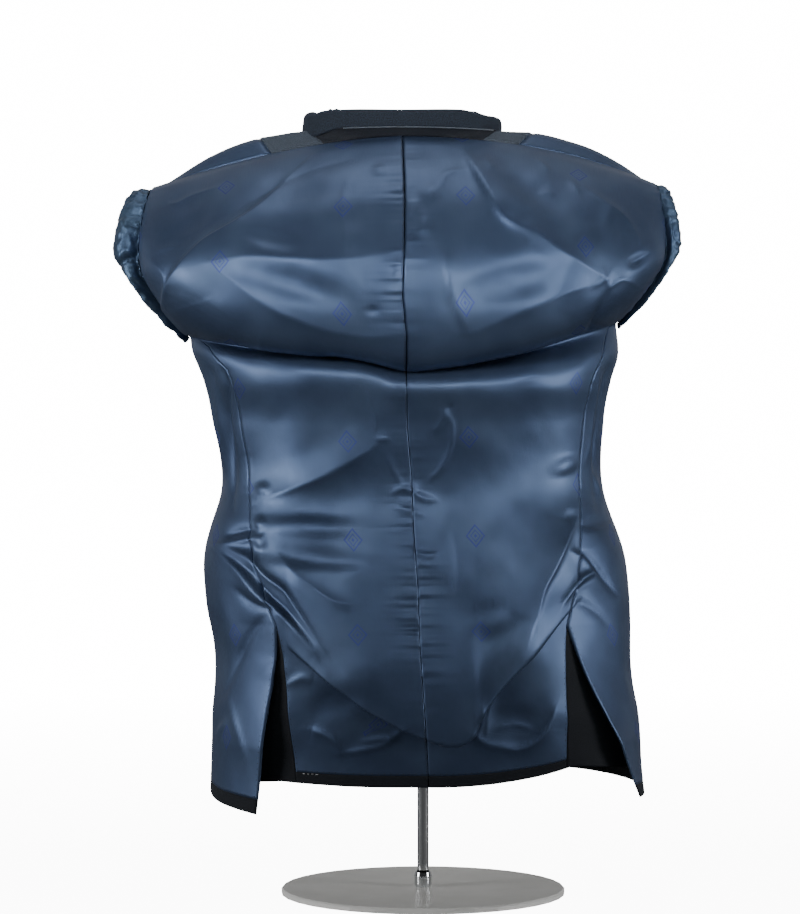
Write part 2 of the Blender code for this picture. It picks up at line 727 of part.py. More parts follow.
def build_front(word, skin):
    side = skin.side
    seam_column = FRONT_COLUMNS
    columns = seam_column + ARM_COLUMNS + 1

    def front_sheet(rows):
        sheet = {}
        for j, row in enumerate(rows):
            start, seam = facing_width(side, row), read_table(FRONT_SEAM, row)
            for i in range(columns):
                if i <= seam_column:
                    share = between(start, seam, i / seam_column)
                else:
                    share = between(seam, 1.0, (i - seam_column) / ARM_COLUMNS)
                sheet[i, j] = skin.front(share, row)
        return sheet

    rows = [row for row in ROWS if row >= HEM_ROW]
    under = rows.index(UNDERARM_ROW)
    cells = grid_cells(columns, len(rows), lambda i, j: i < seam_column or j >= under)

    def trim(key):
        return RIDGE_TRIM if rows[key[1]] > SEAM_ROW - 2 else half_gap(key)

    cloth(f"front_lining_{word}", front_sheet(rows), cells, PANEL_WALL, satin(f"front_lining_{word}"), trim)
    hem_rows = [row for row in ROWS if row <= HEM_ROW]
    cells = grid_cells(seam_column + 1, len(hem_rows))
    cloth(f"hem_front_{word}", front_sheet(hem_rows), cells, PANEL_WALL, suiting(f"hem_front_{word}"))

    sheet = {}
    for j, row in enumerate(ROWS):
        for i in range(FACING_COLUMNS):
            share = between(0.0, facing_width(side, row), i / (FACING_COLUMNS - 1))
            sheet[i, j] = skin.front(share, row)
    cells = grid_cells(FACING_COLUMNS, len(ROWS))
    cloth(f"front_facing_{word}", sheet, cells, PANEL_WALL, suiting(f"front_facing_{word}"))

    sheet = {}
    for j, row in enumerate(LAPEL_ROWS):
        width = read_table(LAPEL_WIDTH, row)
        for i in range(LAPEL_COLUMNS):
            share = between(LAPEL_START, width, i / (LAPEL_COLUMNS - 1))
            point, normal = skin.front(share, row)
            sheet[i, j] = (point - normal * LAPEL_INSET, normal)
    cells = grid_cells(LAPEL_COLUMNS, len(LAPEL_ROWS))
    cloth(f"lapel_{word}", sheet, cells, PANEL_WALL, suiting(f"lapel_{word}"))


def build_neck_facing():
    """The band between the back linings' top edge and the collar."""
    steps = NECK_COLUMNS
    sheet = {}
    for step in range(-steps, steps + 1):
        side = LEFT if step < 0 else RIGHT
        share = abs(step) / steps
        low_point, low_normal = Skin(side).back(NECK_SHARE * share, SEAM_ROW)
        high_point = edge_line(side, NECK_END * share)
        across, back = high_point.x - lean(high_point.z), min(high_point.y, NECK_BACK_LEAST)
        out = Vector((across, back * NECK_BACK_SHARE, 0.0)).normalized()
        if step == 0:
            low_normal = Vector((0.0, low_normal.y, low_normal.z)).normalized()
        sheet[step + steps, 0] = (low_point, low_normal)
        sheet[step + steps, 1] = (high_point, (low_normal + out).normalized())
    cells = grid_cells(2 * steps + 1, 2)
    cloth("back_neck_facing", sheet, cells, PANEL_WALL, suiting("back_neck_facing"))


def build_collar():
    sheet = {}
    for step in range(COLLAR_STEPS + 1):
        place = between(-COLLAR_END, COLLAR_END, step / COLLAR_STEPS)
        side = LEFT if place < 0 else RIGHT
        here = edge_line(side, abs(place))
        behind = edge_line(side, max(abs(place) - ALONG_STEP, 0.0))
        ahead = edge_line(side, abs(place) + ALONG_STEP) - behind
        out = Vector((ahead.y, -ahead.x, 0.0)).normalized() * side
        if abs(place) < ALONG_STEP:
            out = Vector((0.0, -1.0, 0.0))
        drop = COLLAR_DROP[side] * min(1.0, max(0.0, abs(place) - COLLAR_DROP_FROM))
        height = 1 - drop / COLLAR_TOP
        for k, (away, up) in enumerate(COLLAR_SECTION):
            rise = up * height if up > COLLAR_SECTION[0][1] else up
            sheet[step, k] = [here + out * away + Vector((0.0, 0.0, rise)), out]
    count = len(COLLAR_SECTION)
    for step in range(COLLAR_STEPS + 1):
        for k in range(count):
            first, last = sheet[max(step - 1, 0), k][0], sheet[min(step + 1, COLLAR_STEPS), k][0]
            under, over = sheet[step, max(k - 1, 0)][0], sheet[step, min(k + 1, count - 1)][0]
            sheet[step, k][1] = (last - first).cross(over - under).normalized()
    cloth("collar", sheet, grid_cells(COLLAR_STEPS + 1, count), COLLAR_WALL, suiting("collar"))


def build_sleeve(word, side):
    """The gathered head stands out of the armhole, turns in, and the tube lies flat behind the form."""
    rings = []
    for outward, inset, gather in PUFF:
        ring = []
        for k in range(SLEEVE_SEGMENTS):
            angle = 2 * pi * k / SLEEVE_SEGMENTS
            facing = 1 if cos(angle) >= 0 else -1
            seam = armhole(side, asin(max(-1.0, min(1.0, sin(angle)))), facing)
            middle = Vector((seam.x, 0.0, ARMHOLE[side][3]))
            outline = (seam - middle).normalized()
            wave = gather * cos(GATHERS * angle)
            rise = sin(angle)
            reach = PUFF_REACH[side] * read_table(PUFF_SHARE, rise)
            top = PUFF_TOP_INSET * max(0.0, rise) ** 2 * min(1.0, max(0.0, outward) / PUFF_FULL_OUT)
            point = seam - outline * (inset + top) + outline * wave
            stand = max(outward * reach, PUFF[0][0]) if outward > 0 else outward
            point.x += side * (stand + GATHER_OUT * wave)
            ring.append(point)
        rings.append(ring)
    for x, y, z, turn, half_gap, half_height, tilt in SLEEVE_RUN[side]:
        heading = radians(turn)
        thickness = Vector((-side * sin(heading), cos(heading), 0.0))
        height = Vector((0.0, tilt, 1.0))
        ring = []
        for k in range(SLEEVE_SEGMENTS):
            angle = 2 * pi * k / SLEEVE_SEGMENTS
            ring.append(
                Vector((x, y, z)) + thickness * half_gap * cos(angle) + height * half_height * sin(angle)
            )
        rings.append(ring)
    count = len(rings)
    inner, outer = [], []
    for n, ring in enumerate(rings):
        before, after = rings[max(n - 1, 0)], rings[min(n + 1, count - 1)]
        for k, point in enumerate(ring):
            around = ring[(k + 1) % SLEEVE_SEGMENTS] - ring[k - 1]
            along = after[k] - before[k]
            normal = around.cross(along).normalized() * -side
            outer.append(point)
            inner.append(point - normal * SLEEVE_WALL)
    total = len(outer)
    faces = []
    for n in range(count - 1):
        for k in range(SLEEVE_SEGMENTS):
            a = n * SLEEVE_SEGMENTS + k
            b = n * SLEEVE_SEGMENTS + (k + 1) % SLEEVE_SEGMENTS
            c, d = b + SLEEVE_SEGMENTS, a + SLEEVE_SEGMENTS
            faces.append([a, b, c, d])
            faces.append([d + total, c + total, b + total, a + total])
    for start in (0, (count - 1) * SLEEVE_SEGMENTS):
        for k in range(SLEEVE_SEGMENTS):
            a, b = start + k, start + (k + 1) % SLEEVE_SEGMENTS
            faces.append([a, b, b + total, a + total])
    add_object(f"sleeve_{word}", outer + inner, faces, satin(f"sleeve_{word}"))


def loft(name, rings, look):
    """A closed solid from rings of equal count, capped at the first and the last."""
    vertices = [point for ring in rings for point in ring]
    around = len(rings[0])
    faces = []
    for n in range(len(rings) - 1):
        for k in range(around):
            a, b = n * around + k, n * around + (k + 1) % around
            faces.append([a, b, b + around, a + around])
    faces.append(list(range(around)))
    faces.append(list(range((len(rings) - 1) * around, len(rings) * around)))
    return add_object(name, vertices, faces, look)


def circle(radius, z, segments):
    return [
        Vector((radius * cos(2 * pi * k / segments), radius * sin(2 * pi * k / segments), z))
        for k in range(segments)
    ]


def build_form():
    def section(z, half_width, back, front, roundness):
        ring = []
        for k in range(FORM_SEGMENTS):
            angle = 2 * pi * k / FORM_SEGMENTS
            across = abs(cos(angle)) ** (2 / roundness)
            deep = abs(sin(angle)) ** (2 / roundness)
            x = half_width * across * (1 if cos(angle) >= 0 else -1)
            y = deep * (front if sin(angle) >= 0 else -back)
            ring.append(Vector((x, y, z)))
        return ring

    bottom = FORM_ROWS[0][0]
    rings = [circle(BORE_RADIUS, BORE_TOP, FORM_SEGMENTS), circle(BORE_RADIUS, bottom, FORM_SEGMENTS)]
    rings += [section(*row) for row in FORM_ROWS]
    loft("form_torso", rings, material("jersey_cover", JERSEY, JERSEY_ROUGHNESS))


def turned(name, profile, look):
    """A solid turned round the Z axis, with a rectangle of profile points (radius, z) in a ring."""
    rings = [circle(radius, z, ROUND_SEGMENTS) for radius, z in profile]
    vertices = [point for ring in rings for point in ring]
    faces = []
    count = len(rings)
    for n in range(count):
        for k in range(ROUND_SEGMENTS):
            a, b = n * ROUND_SEGMENTS + k, n * ROUND_SEGMENTS + (k + 1) % ROUND_SEGMENTS
            c = (n + 1) % count * ROUND_SEGMENTS + (k + 1) % ROUND_SEGMENTS
            d = (n + 1) % count * ROUND_SEGMENTS + k
            faces.append([a, b, c, d])
    return add_object(name, vertices, faces, look)


def build_stand():
    loft(
        "stand_base",
        [
            circle(BASE_RADIUS, 0.0, ROUND_SEGMENTS),
            circle(BASE_RADIUS, BASE_THICKNESS - BASE_EDGE, ROUND_SEGMENTS),
            circle(BASE_RADIUS - BASE_EDGE, BASE_THICKNESS, ROUND_SEGMENTS),
        ],
        material("white_powder_coat", WHITE_COAT, COAT_ROUGHNESS),
    )
    loft(
        "stand_pole",
        [circle(POLE_RADIUS, z, POLE_SEGMENTS) for z in (SOCKET_FOOT, POLE_TOP)],
        material("pole_chrome", CHROME, CHROME_ROUGHNESS, 1.0),
    )
    turned("stand_socket", SOCKET_PROFILE, material("socket_chrome", CHROME, CHROME_ROUGHNESS, 1.0))


def main():
    clear_scene()
    build_stand()
    build_form()
    for word, side in SIDES.items():
        skin = Skin(side)
        build_back(word, skin)
        build_side(word, skin)
        build_front(word, skin)
        build_sleeve(word, side)
    build_neck_facing()
    build_collar()


main()
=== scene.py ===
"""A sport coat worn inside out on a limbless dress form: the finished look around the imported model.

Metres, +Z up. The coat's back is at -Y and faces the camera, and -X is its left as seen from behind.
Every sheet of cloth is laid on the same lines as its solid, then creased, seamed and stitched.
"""

from math import cos, pi, radians, sin

import bpy
import numpy as np
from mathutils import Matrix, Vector


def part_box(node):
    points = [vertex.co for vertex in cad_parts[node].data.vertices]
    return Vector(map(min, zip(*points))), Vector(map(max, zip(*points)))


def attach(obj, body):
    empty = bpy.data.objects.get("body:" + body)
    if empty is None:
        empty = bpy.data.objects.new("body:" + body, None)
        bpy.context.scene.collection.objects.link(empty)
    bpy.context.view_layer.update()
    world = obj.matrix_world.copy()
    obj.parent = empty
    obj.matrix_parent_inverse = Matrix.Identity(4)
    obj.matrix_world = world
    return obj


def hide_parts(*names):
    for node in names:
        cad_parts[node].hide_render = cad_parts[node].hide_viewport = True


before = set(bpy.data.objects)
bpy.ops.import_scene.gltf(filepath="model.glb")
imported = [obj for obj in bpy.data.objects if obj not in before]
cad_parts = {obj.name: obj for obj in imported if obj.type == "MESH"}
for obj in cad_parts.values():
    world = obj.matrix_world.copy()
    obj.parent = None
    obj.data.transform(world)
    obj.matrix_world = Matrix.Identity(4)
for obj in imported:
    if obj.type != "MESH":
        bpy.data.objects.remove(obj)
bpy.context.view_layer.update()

LEFT, RIGHT = -1, 1
SIDES = {"left": LEFT, "right": RIGHT}

PHOTO_HEIGHT = 914  # pixels, the long side of the frame
PIXEL_AT_POLE = 0.00106
CAMERA_DISTANCE = 3.0
CAMERA_PLACE = (-0.0244, -CAMERA_DISTANCE, 0.461)
SENSOR = 36.0

PANEL_WALL = 0.0016
SLEEVE_WALL = 0.0011
COLLAR_WALL = 0.0022

# ---------------- the coat's lines, as its solids have them

LEAN = (
    # z, x
    (0.12, 0.005),
    (0.34, -0.008),
    (0.55, -0.020),
    (0.83, -0.022),
)
BACK_ROWS = (
    # centre_y, centre_z, roundness, left_fall, right_fall
    (-0.150, 0.1277, 2.4, 2.0, 2.0),  # hem
    (-0.160, 0.190, 2.4, 2.0, 2.0),
    (-0.168, 0.260, 2.4, 2.0, 2.0),
    (-0.162, 0.345, 2.4, 2.0, 2.0),  # hip
    (-0.148, 0.430, 2.3, 2.0, 2.0),  # waist
    (-0.156, 0.490, 2.3, 2.0, 2.0),
    (-0.168, 0.527, 2.4, 1.8, 1.8),
    (-0.159, 0.544, 2.4, 1.8, 1.8),
    (-0.136, 0.552, 2.4, 1.8, 1.8),  # deep crease
    (-0.168, 0.5485, 2.6, 1.8, 1.8),  # lower edge of the upper lobe
    (-0.189, 0.568, 2.8, 1.8, 1.8),
    (-0.198, 0.612, 2.8, 1.6, 1.6),
    (-0.192, 0.662, 2.5, 1.5, 1.6),
    (-0.166, 0.712, 2.1, 1.6, 1.8),
    (-0.131, 0.752, 1.7, 1.6, 2.0),
    (-0.099, 0.778, 1.4, 1.6, 2.2),
    (-0.078, 0.7925, 1.2, 1.7, 2.4),  # shoulder seam
)
CREASE_ROWS = (6, 7, 8, 9, 10)
CREASE_ARCH = 0.009
CREASE_ARCH_AT = 0.28
UNDERARM_ROW = 8
SEAM_ROW = 16
SIDE_EDGE = (
    # left_x, right_x, z
    (-0.225, 0.232, 0.113),
    (-0.223, 0.227, 0.175),
    (-0.220, 0.219, 0.250),
    (-0.232, 0.2145, 0.350),
    (-0.213, 0.190, 0.430),
    (-0.221, 0.191, 0.500),
    (-0.231, 0.198, 0.540),
    (-0.243, 0.206, 0.570),
)
ARMHOLE = {
    # low_x, middle_x, top_x, centre_z, half_height, half_depth
    LEFT: (-0.246, -0.296, -0.287, 0.6665, 0.0795, 0.055),
    RIGHT: (0.204, 0.252, 0.246, 0.6760, 0.0745, 0.055),
}
ARMHOLE_ANGLES = (-90, -75, -58, -35, -10, 15, 40, 65, 90)
EDGE_LINE = (
    # across, y, z
    (0.000, -0.083, 0.8015),  # centre back of the neck
    (0.045, -0.077, 0.8015),
    (0.080, -0.058, 0.8020),
    (0.100, -0.030, 0.8035),
    (0.105, 0.004, 0.8030),  # side of the neck
    (0.100, 0.036, 0.7920),
    (0.092, 0.064, 0.7680),
    (0.082, 0.090, 0.7300),
    (0.066, 0.112, 0.6700),
    (0.048, 0.126, 0.6000),
    (0.030, 0.132, 0.5300),
    (0.012, 0.130, 0.4600),
    (0.005, 0.127, 0.4000),  # buttoning point
    (0.007, 0.136, 0.3200),
    (0.016, 0.144, 0.2400),
    (0.036, 0.149, 0.1750),
    (0.075, 0.147, 0.1200),  # front hem
)
NECK_END = 2.9
BACK_COLUMNS = 12
ARM_COLUMNS = 4
NECK_COLUMNS = 3
UNDERARM_SHARE = 0.80
NECK_SHARE = UNDERARM_SHARE * NECK_COLUMNS / BACK_COLUMNS
FRONT_ROWS = (
    # edge_place, roundness, left_fall, right_fall
    *((place, 2.3, 2.0, 2.0) for place in (16.0, 15.0, 14.0, 13.0, 12.3, 11.6, 11.0, 10.5, 10.1)),
    (9.7, 2.3, 1.8, 1.8),
    (9.3, 2.3, 1.6, 1.6),
    (8.6, 2.2, 1.5, 1.5),
    (7.7, 2.1, 1.6, 1.6),
    (6.6, 2.0, 1.8, 1.8),
    (5.2, 1.8, 2.0, 2.3),
    (3.6, 1.5, 2.05, 2.5),  # ridge of the shoulder
)
BACK_FOLDS = (
    # start_x, start_z, end_x, end_z, width, height
    (-0.140, 0.765, -0.255, 0.640, 0.028, 0.006),
    (0.040, 0.770, 0.135, 0.655, 0.024, 0.005),
    (0.205, 0.690, 0.155, 0.600, 0.022, -0.008),
    (-0.160, 0.420, -0.050, 0.468, 0.020, 0.004),
    (-0.200, 0.355, -0.090, 0.225, 0.022, 0.005),
    (-0.205, 0.372, -0.165, 0.372, 0.016, -0.004),
    (0.165, 0.365, 0.195, 0.310, 0.016, -0.004),
)
FOLD_START, FOLD_END = 0.12, 0.88
EDGE_KEEP = 0.12  # folds fade out over this last share of a row
POUCH_EDGE = (
    # x, z of the hanging pouch's lower edge, seen from behind
    (-0.190, 0.306),
    (-0.144, 0.277),
    (-0.103, 0.245),
    (-0.062, 0.218),
    (-0.022, 0.197),
    (0.007, 0.186),
    (0.032, 0.182),
    (0.048, 0.191),
    (0.059, 0.214),
    (0.080, 0.240),
    (0.111, 0.273),
    (0.142, 0.304),
    (0.190, 0.345),
)
POUCH_MIDDLE = 0.012
POUCH_REACH = 0.150
POUCH_DEPTH = 0.020
POUCH_LIP = 0.006
POUCH_ROLL = 0.013  # how far its lip hangs over what is below
POUCH_HEIGHT = 0.075
SIDE_SEAM = (
    # row, share at the left, share at the right
    (8.0, UNDERARM_SHARE, UNDERARM_SHARE),
    (7.4, 0.70, 0.74),
    (6.4, 0.64, 0.70),
    (4.0, 0.63, 0.65),
    (2.4, 0.45, 0.465),
    (0.0, 0.52, 0.70),
)
LINING_AT_HEM = {LEFT: 0.395, RIGHT: 0.420}
FACING_AT_HEM = {LEFT: 0.600, RIGHT: 0.780}
VENT_ROW = 2.4
VENT_FLARE = {LEFT: 0.016, RIGHT: 0.020}
BACK_HEM_RISE = {LEFT: 0.010, RIGHT: 0.026}
RISE_SHARE = 0.45
FLAP_DROP = {LEFT: 0.020, RIGHT: 0.004}
FRONT_SEAM = ((8.0, 0.84), (6.5, 0.62), (0.0, 0.58))
FACING_SHARE = (
    # row, share at the left, share at the right
    (16.0, 0.18, 0.12),
    (15.0, 0.19, 0.13),
    (12.0, 0.30, 0.30),
    (8.0, 0.28, 0.30),
    (0.0, 0.27, 0.27),
)
HEM_ROW = 0.20
ROWS = (
    *(0.0, 0.2, 0.6, 1.0, 1.35, 1.7, 2.05, 2.4),
    *(3.0, 3.6, 4.2, 4.9, 5.6, 6.2, 6.7, 7.1, 7.4, 7.7, 8.0),
    *(8.35, 8.7, 9.05, 9.5, 10.0, 10.7, 11.5, 12.3, 13.1, 13.9, 14.6, 15.0, 15.5, 16.0),
)
PUFF = (
    # outward, inset
    (0.0014, 0.0008),
    (0.0060, -0.0012),
    (0.0135, -0.0042),
    (0.0230, -0.0040),
    (0.0295, 0.0030),
    (0.0320, 0.0115),
    (0.0275, 0.0190),
    (0.0140, 0.0250),
    (-0.0020, 0.0280),
)
PUFF_REACH = {LEFT: 0.92, RIGHT: 0.56}
PUFF_SHARE = ((-1.0, 0.35), (-0.6, 0.64), (-0.25, 0.70), (0.15, 1.0), (1.0, 1.0))
PUFF_TOP_INSET = 0.009
PUFF_FULL_OUT = 0.025  # the top is drawn in all the way from here outwards
SLEEVE_RUN = {
    # x, y, z, turn in degrees, half_gap, half_height, lean
    LEFT: (
        (-0.270, -0.008, 0.664, 12, 0.0220, 0.0440, 0.00),
        (-0.247, -0.034, 0.662, 38, 0.0160, 0.0480, 0.05),
        (-0.216, -0.078, 0.660, 50, 0.0090, 0.0520, 0.15),
        (-0.172, -0.120, 0.658, 38, 0.0040, 0.0550, 0.25),
        (-0.115, -0.151, 0.657, 18, 0.0016, 0.0570, 0.30),
        (-0.040, -0.162, 0.656, 2, 0.0014, 0.0580, 0.30),
        (0.040, -0.160, 0.656, -4, 0.0014, 0.0580, 0.30),
        (0.100, -0.151, 0.657, -12, 0.0014, 0.0570, 0.30),
    ),
    RIGHT: (
        (0.228, -0.008, 0.668, 12, 0.0220, 0.0430, 0.00),
        (0.208, -0.032, 0.666, 38, 0.0160, 0.0470, 0.05),
        (0.182, -0.068, 0.664, 46, 0.0090, 0.0510, 0.15),
        (0.140, -0.102, 0.661, 34, 0.0040, 0.0540, 0.25),
        (0.085, -0.124, 0.659, 12, 0.0016, 0.0560, 0.30),
        (0.020, -0.131, 0.658, 2, 0.0014, 0.0570, 0.30),
        (-0.045, -0.130, 0.658, -4, 0.0014, 0.0570, 0.30),
        (-0.100, -0.122, 0.659, -10, 0.0014, 0.0560, 0.30),
    ),
}
COLLAR_SECTION = (
    # out, up
    (0.0000, 0.0004),
    (0.0006, 0.0080),
    (0.0000, 0.0150),
    (-0.0016, 0.0184),
    (-0.0048, 0.0200),
    (-0.0084, 0.0186),
    (-0.0104, 0.0145),
    (-0.0112, 0.0040),
    (-0.0120, -0.0070),
    (-0.0126, -0.0180),
)
COLLAR_ROLL = 0.0200
COLLAR_DROP = {LEFT: 0.0, RIGHT: 0.005}
COLLAR_DROP_FROM = 1.5
COLLAR_END = 5.6
COLLAR_CORNER_DROP = 0.0075  # the fall hangs lower round the left side of the neck
LAPEL_ROWS = (6.4, 6.8, 7.4, 8.0, 8.6, 9.2, 10.0, 10.6, 11.3, 12.0, 12.7, 13.4)
LAPEL_WIDTH = ((6.4, 0.03), (9.2, 0.14), (12.3, 0.25), (13.4, 0.19))
LAPEL_START = 0.006
LAPEL_INSET = 0.0044

# ---------------- the folds, listed one by one

# A crease is its height, how fast it falls away to the left and the right of its run, and the places it runs
# through, in millimetres across and up as seen from behind. A minus height is a trough.
UPPER_CREASES = (
    # height, width_left, width_right, places
    (4.6, 36, 3.5, (-134, 752), (-176, 707), (-222, 677), (-251, 647), (-263, 628)),
    (3.4, 22, 3, (-261, 632), (-267, 612), (-258, 595), (-238, 578)),
    (-3.4, 17, 17, (-74, 766), (-130, 748), (-190, 714), (-270, 664)),
    (1.8, 4, 4, (-264, 722), (-254, 723), (-239, 731), (-209, 738)),
    (1.2, 3, 3, (-272, 670), (-259, 674), (-246, 675)),
    (2.0, 2.5, 9, (-279, 663), (-264, 646), (-262, 622)),
    (1.7, 7, 9, (-214, 656), (-164, 660), (-94, 656), (-30, 663)),
    (3.0, 10, 9, (-214, 655), (-176, 624), (-149, 607), (-120, 595), (-91, 586), (-52, 580), (-16, 584)),
    (1.0, 3, 3, (-190, 580), (-192, 562)),
    (1.0, 3, 3, (-163, 584), (-165, 566)),
    (0.9, 2.5, 3, (-77, 743), (-81, 718), (-78, 680), (-78, 653), (-66, 633)),
    (0.5, 1.8, 1.8, (-20, 693), (-21, 640), (-19, 598)),
    (4.4, 15, 3, (40, 776), (51, 753), (66, 722), (78, 702), (92, 690)),
    (3.4, 11, 8, (80, 700), (116, 682), (146, 661), (181, 640)),
    (1.4, 4, 5, (14, 730), (23, 748), (42, 753)),
    (3.2, 10, 2.6, (20, 664), (26, 628), (34, 603), (41, 586)),
    (2.8, 9, 14, (181, 638), (146, 627), (116, 614), (81, 599), (51, 586), (34, 584)),
    (-3.4, 5, 5, (184, 628), (176, 608), (169, 590), (163, 570)),
    (2.8, 7, 12, (160, 738), (186, 718), (206, 703), (222, 676)),
    (-1.8, 3, 3, (208, 655), (216, 660), (231, 669)),
    (1.7, 3, 3, (183, 628), (191, 636), (201, 640), (217, 634)),
    (1.4, 3, 3, (168, 632), (181, 640), (188, 652)),
    (1.2, 3, 3, (176, 652), (181, 640), (186, 630)),
    (1.2, 3, 4, (116, 768), (124, 760), (127, 752)),
    (1.0, 3, 4, (150, 744), (155, 736), (157, 728)),
    (0.9, 3, 3, (118, 729), (126, 730), (132, 726)),
    (1.0, 3, 3, (62, 770), (66, 760), (70, 752)),
)
LOWER_CREASES = (
    # height, width_left, width_right, places
    (-3.6, 3.5, 3.5, (-207, 553), (-202, 533), (-203, 498), (-201, 458), (-196, 405)),
    (1.6, 4, 4, (-214, 548), (-211, 500), (-212, 450)),
    (2.7, 13, 5, (-162, 418), (-134, 428), (-104, 440), (-74, 456), (-46, 474)),
    (2.4, 5, 4, (-220, 369), (-184, 375), (-160, 380)),
    (-2.2, 4, 4, (-202, 380), (-186, 385), (-168, 388)),
    (4.0, 3.5, 8, (-216, 366), (-192, 348), (-169, 323), (-149, 307), (-129, 288), (-108, 262)),
    (-3.0, 4, 4, (-205, 361), (-178, 344), (-158, 323), (-136, 304), (-112, 274)),
    (3.8, 4, 7, (-206, 368), (-179, 358), (-160, 340), (-139, 325), (-124, 303), (-100, 268)),
    (2.4, 9, 9, (-148, 362), (-124, 338), (-94, 318), (-72, 312)),
    (-2.6, 4, 5, (-192, 326), (-174, 313), (-146, 306)),
    (-2.0, 4, 5, (-156, 305), (-176, 280), (-190, 250), (-202, 216)),
    (1.4, 1.5, 5, (-197, 216), (-189, 198), (-182, 183), (-174, 163)),
    (1.4, 2, 4, (-213, 172), (-206, 183), (-197, 192)),
    (1.2, 3, 4, (-59, 530), (-49, 503), (-48, 486)),
    (1.0, 3, 3, (-50, 480), (-34, 478)),
    (1.0, 3, 3, (-39, 465), (-29, 443), (-23, 431)),
    (2.0, 3, 4, (-33, 424), (-20, 429), (-2, 420), (12, 418)),
    (1.2, 3, 3, (-30, 411), (2, 403)),
    (1.3, 3, 3, (-15, 366), (2, 362), (14, 364)),
    (1.9, 2.5, 4, (18, 508), (28, 493), (26, 468), (16, 448), (4, 437)),
    (1.2, 3, 3, (22, 508), (16, 494), (8, 486)),
    (-1.4, 3, 3, (22, 508), (30, 512)),
    (-0.9, 4, 4, (28, 385), (33, 358), (31, 326)),
    (3.8, 3, 13, (153, 392), (146, 378), (141, 367), (132, 348), (121, 328), (112, 300)),
    (3.6, 3, 6, (139, 312), (148, 323), (156, 333), (166, 341), (176, 343)),
    (-2.2, 4, 4, (146, 316), (158, 328), (172, 336)),
    (-3.0, 2.5, 2.5, (157, 368), (168, 358), (176, 348), (184, 338), (198, 318)),
    (2.4, 3, 3, (148, 366), (161, 358), (168, 351), (176, 341)),
    (-1.4, 3, 4, (150, 316), (166, 310), (179, 300), (190, 286)),
    (1.6, 4, 4, (182, 556), (178, 520), (172, 480), (164, 450)),
    (-1.6, 3, 3, (189, 556), (184, 510), (178, 466), (182, 440)),
    (1.8, 3, 4, (172, 474), (174, 450), (182, 428), (190, 412)),
    (3.2, 5, 7, (46, 186), (60, 172), (78, 166), (96, 161), (114, 168), (126, 186), (132, 206)),
    (0.9, 2, 2, (76, 186), (91, 189), (108, 183)),
    (2.0, 5, 5, (56, 218), (58, 196), (52, 176)),
    (1.6, 4, 4, (70, 220), (64, 200), (62, 180)),
    (3.0, 4, 7, (-113, 184), (-99, 180), (-89, 172), (-83, 158)),
    (1.8, 2, 3, (-62, 175), (-44, 178), (-32, 179)),
    (1.9, 3, 3, (-86, 160), (-64, 165), (-39, 173), (-17, 192)),
    (1.6, 5, 5, (-140, 230), (-124, 238), (-112, 236)),
)
# A swell is a low round form: its place, its half width and half height, how far it is turned and how high.
UPPER_SWELLS = (
    # x, z, half_width, half_height, turn in degrees, height
    (-152, 678, 28, 9, -12, -2.0),
    (-134, 634, 50, 15, -16, -3.6),
    (88, 634, 50, 18, 14, -4.4),
    (-46, 752, 6, 6, 0, 1.2),
    (-29, 646, 6, 5, 0, -1.4),
    (-52, 606, 6, 4, 0, -1.2),
    (4, 726, 10, 9, 20, 1.8),
    (0, 690, 6, 10, 0, 1.4),
    (-12, 712, 6, 8, 0, 1.2),
    (-14, 672, 5, 9, 0, 1.0),
    (188, 694, 9, 18, 0, 1.8),
    (216, 660, 11, 6, 30, -2.2),
    (-90, 712, 60, 14, 8, 1.8),
    (-236, 700, 20, 9, 30, -1.6),
    (110, 730, 26, 14, -40, -2.2),
)
LOWER_SWELLS = (
    # x, z, half_width, half_height, turn in degrees, height
    (-164, 428, 7, 6, 0, 1.8),
    (-166, 393, 6, 6, 0, 1.6),
    (-166, 373, 6, 5, 0, 1.4),
    (-118, 390, 44, 10, 0, 2.6),
    (-116, 360, 46, 10, -6, -2.6),
    (-26, 530, 14, 11, 0, 1.6),
    (16, 530, 16, 11, 0, 1.8),
    (144, 452, 14, 8, 24, 2.2),
    (149, 400, 6, 5, 0, -0.8),
    (178, 393, 16, 6, 10, -1.8),
    (68, 300, 17, 15, 0, -2.2),
    (92, 276, 24, 40, -42, 2.6),
    (92, 196, 18, 12, 0, -1.2),
    (-60, 246, 26, 20, 30, 2.2),
    (-90, 214, 26, 14, 20, -1.6),
    (-150, 245, 14, 10, 0, 1.2),
    (40, 420, 30, 60, 0, -1.4),
)
LOWER_DEPTH = 1.35  # the lower half's folds stand this much higher than the table says
CREASE_STEPS = 24
CREST = 0.55  # millimetres of roundness at the top of a crease
CREASE_REACH = 4.5  # widths, past which a crease is nothing

# Low swells all over, under the creases: wavelength, height in millimetres.
WAVES = ((110, 1.0), (52, 0.28), (23, 0.06))

# How much the centre back seam puckers the cloth beside it.
CENTRE_PUCKERS = (
    # z, at the left, at the right
    (0.130, 0.2, 0.2),
    (0.240, 0.5, 0.8),
    (0.262, 1.4, 2.4),
    (0.310, 1.3, 2.1),
    (0.345, 1.5, 1.2),
    (0.370, 1.2, 0.7),
    (0.420, 0.9, 0.6),
    (0.500, 0.4, 0.5),
    (0.545, 0.2, 0.2),
    (0.580, 1.2, 0.4),
    (0.650, 1.4, 0.9),
    (0.720, 1.2, 1.0),
    (0.750, 0.4, 0.4),
    (0.795, 0.2, 0.2),
)

SEAM_WANDER = (
    # z, metres to the right
    (0.13, 0.0000),
    (0.19, 0.0012),
    (0.26, -0.0006),
    (0.33, 0.0010),
    (0.39, 0.0000),
    (0.44, 0.0012),
    (0.49, -0.0004),
    (0.54, 0.0016),
    (0.58, 0.0022),
    (0.62, -0.0014),
    (0.67, 0.0006),
    (0.72, 0.0016),
    (0.79, 0.0000),
)
SEAM_WANDER_REACH = 0.025

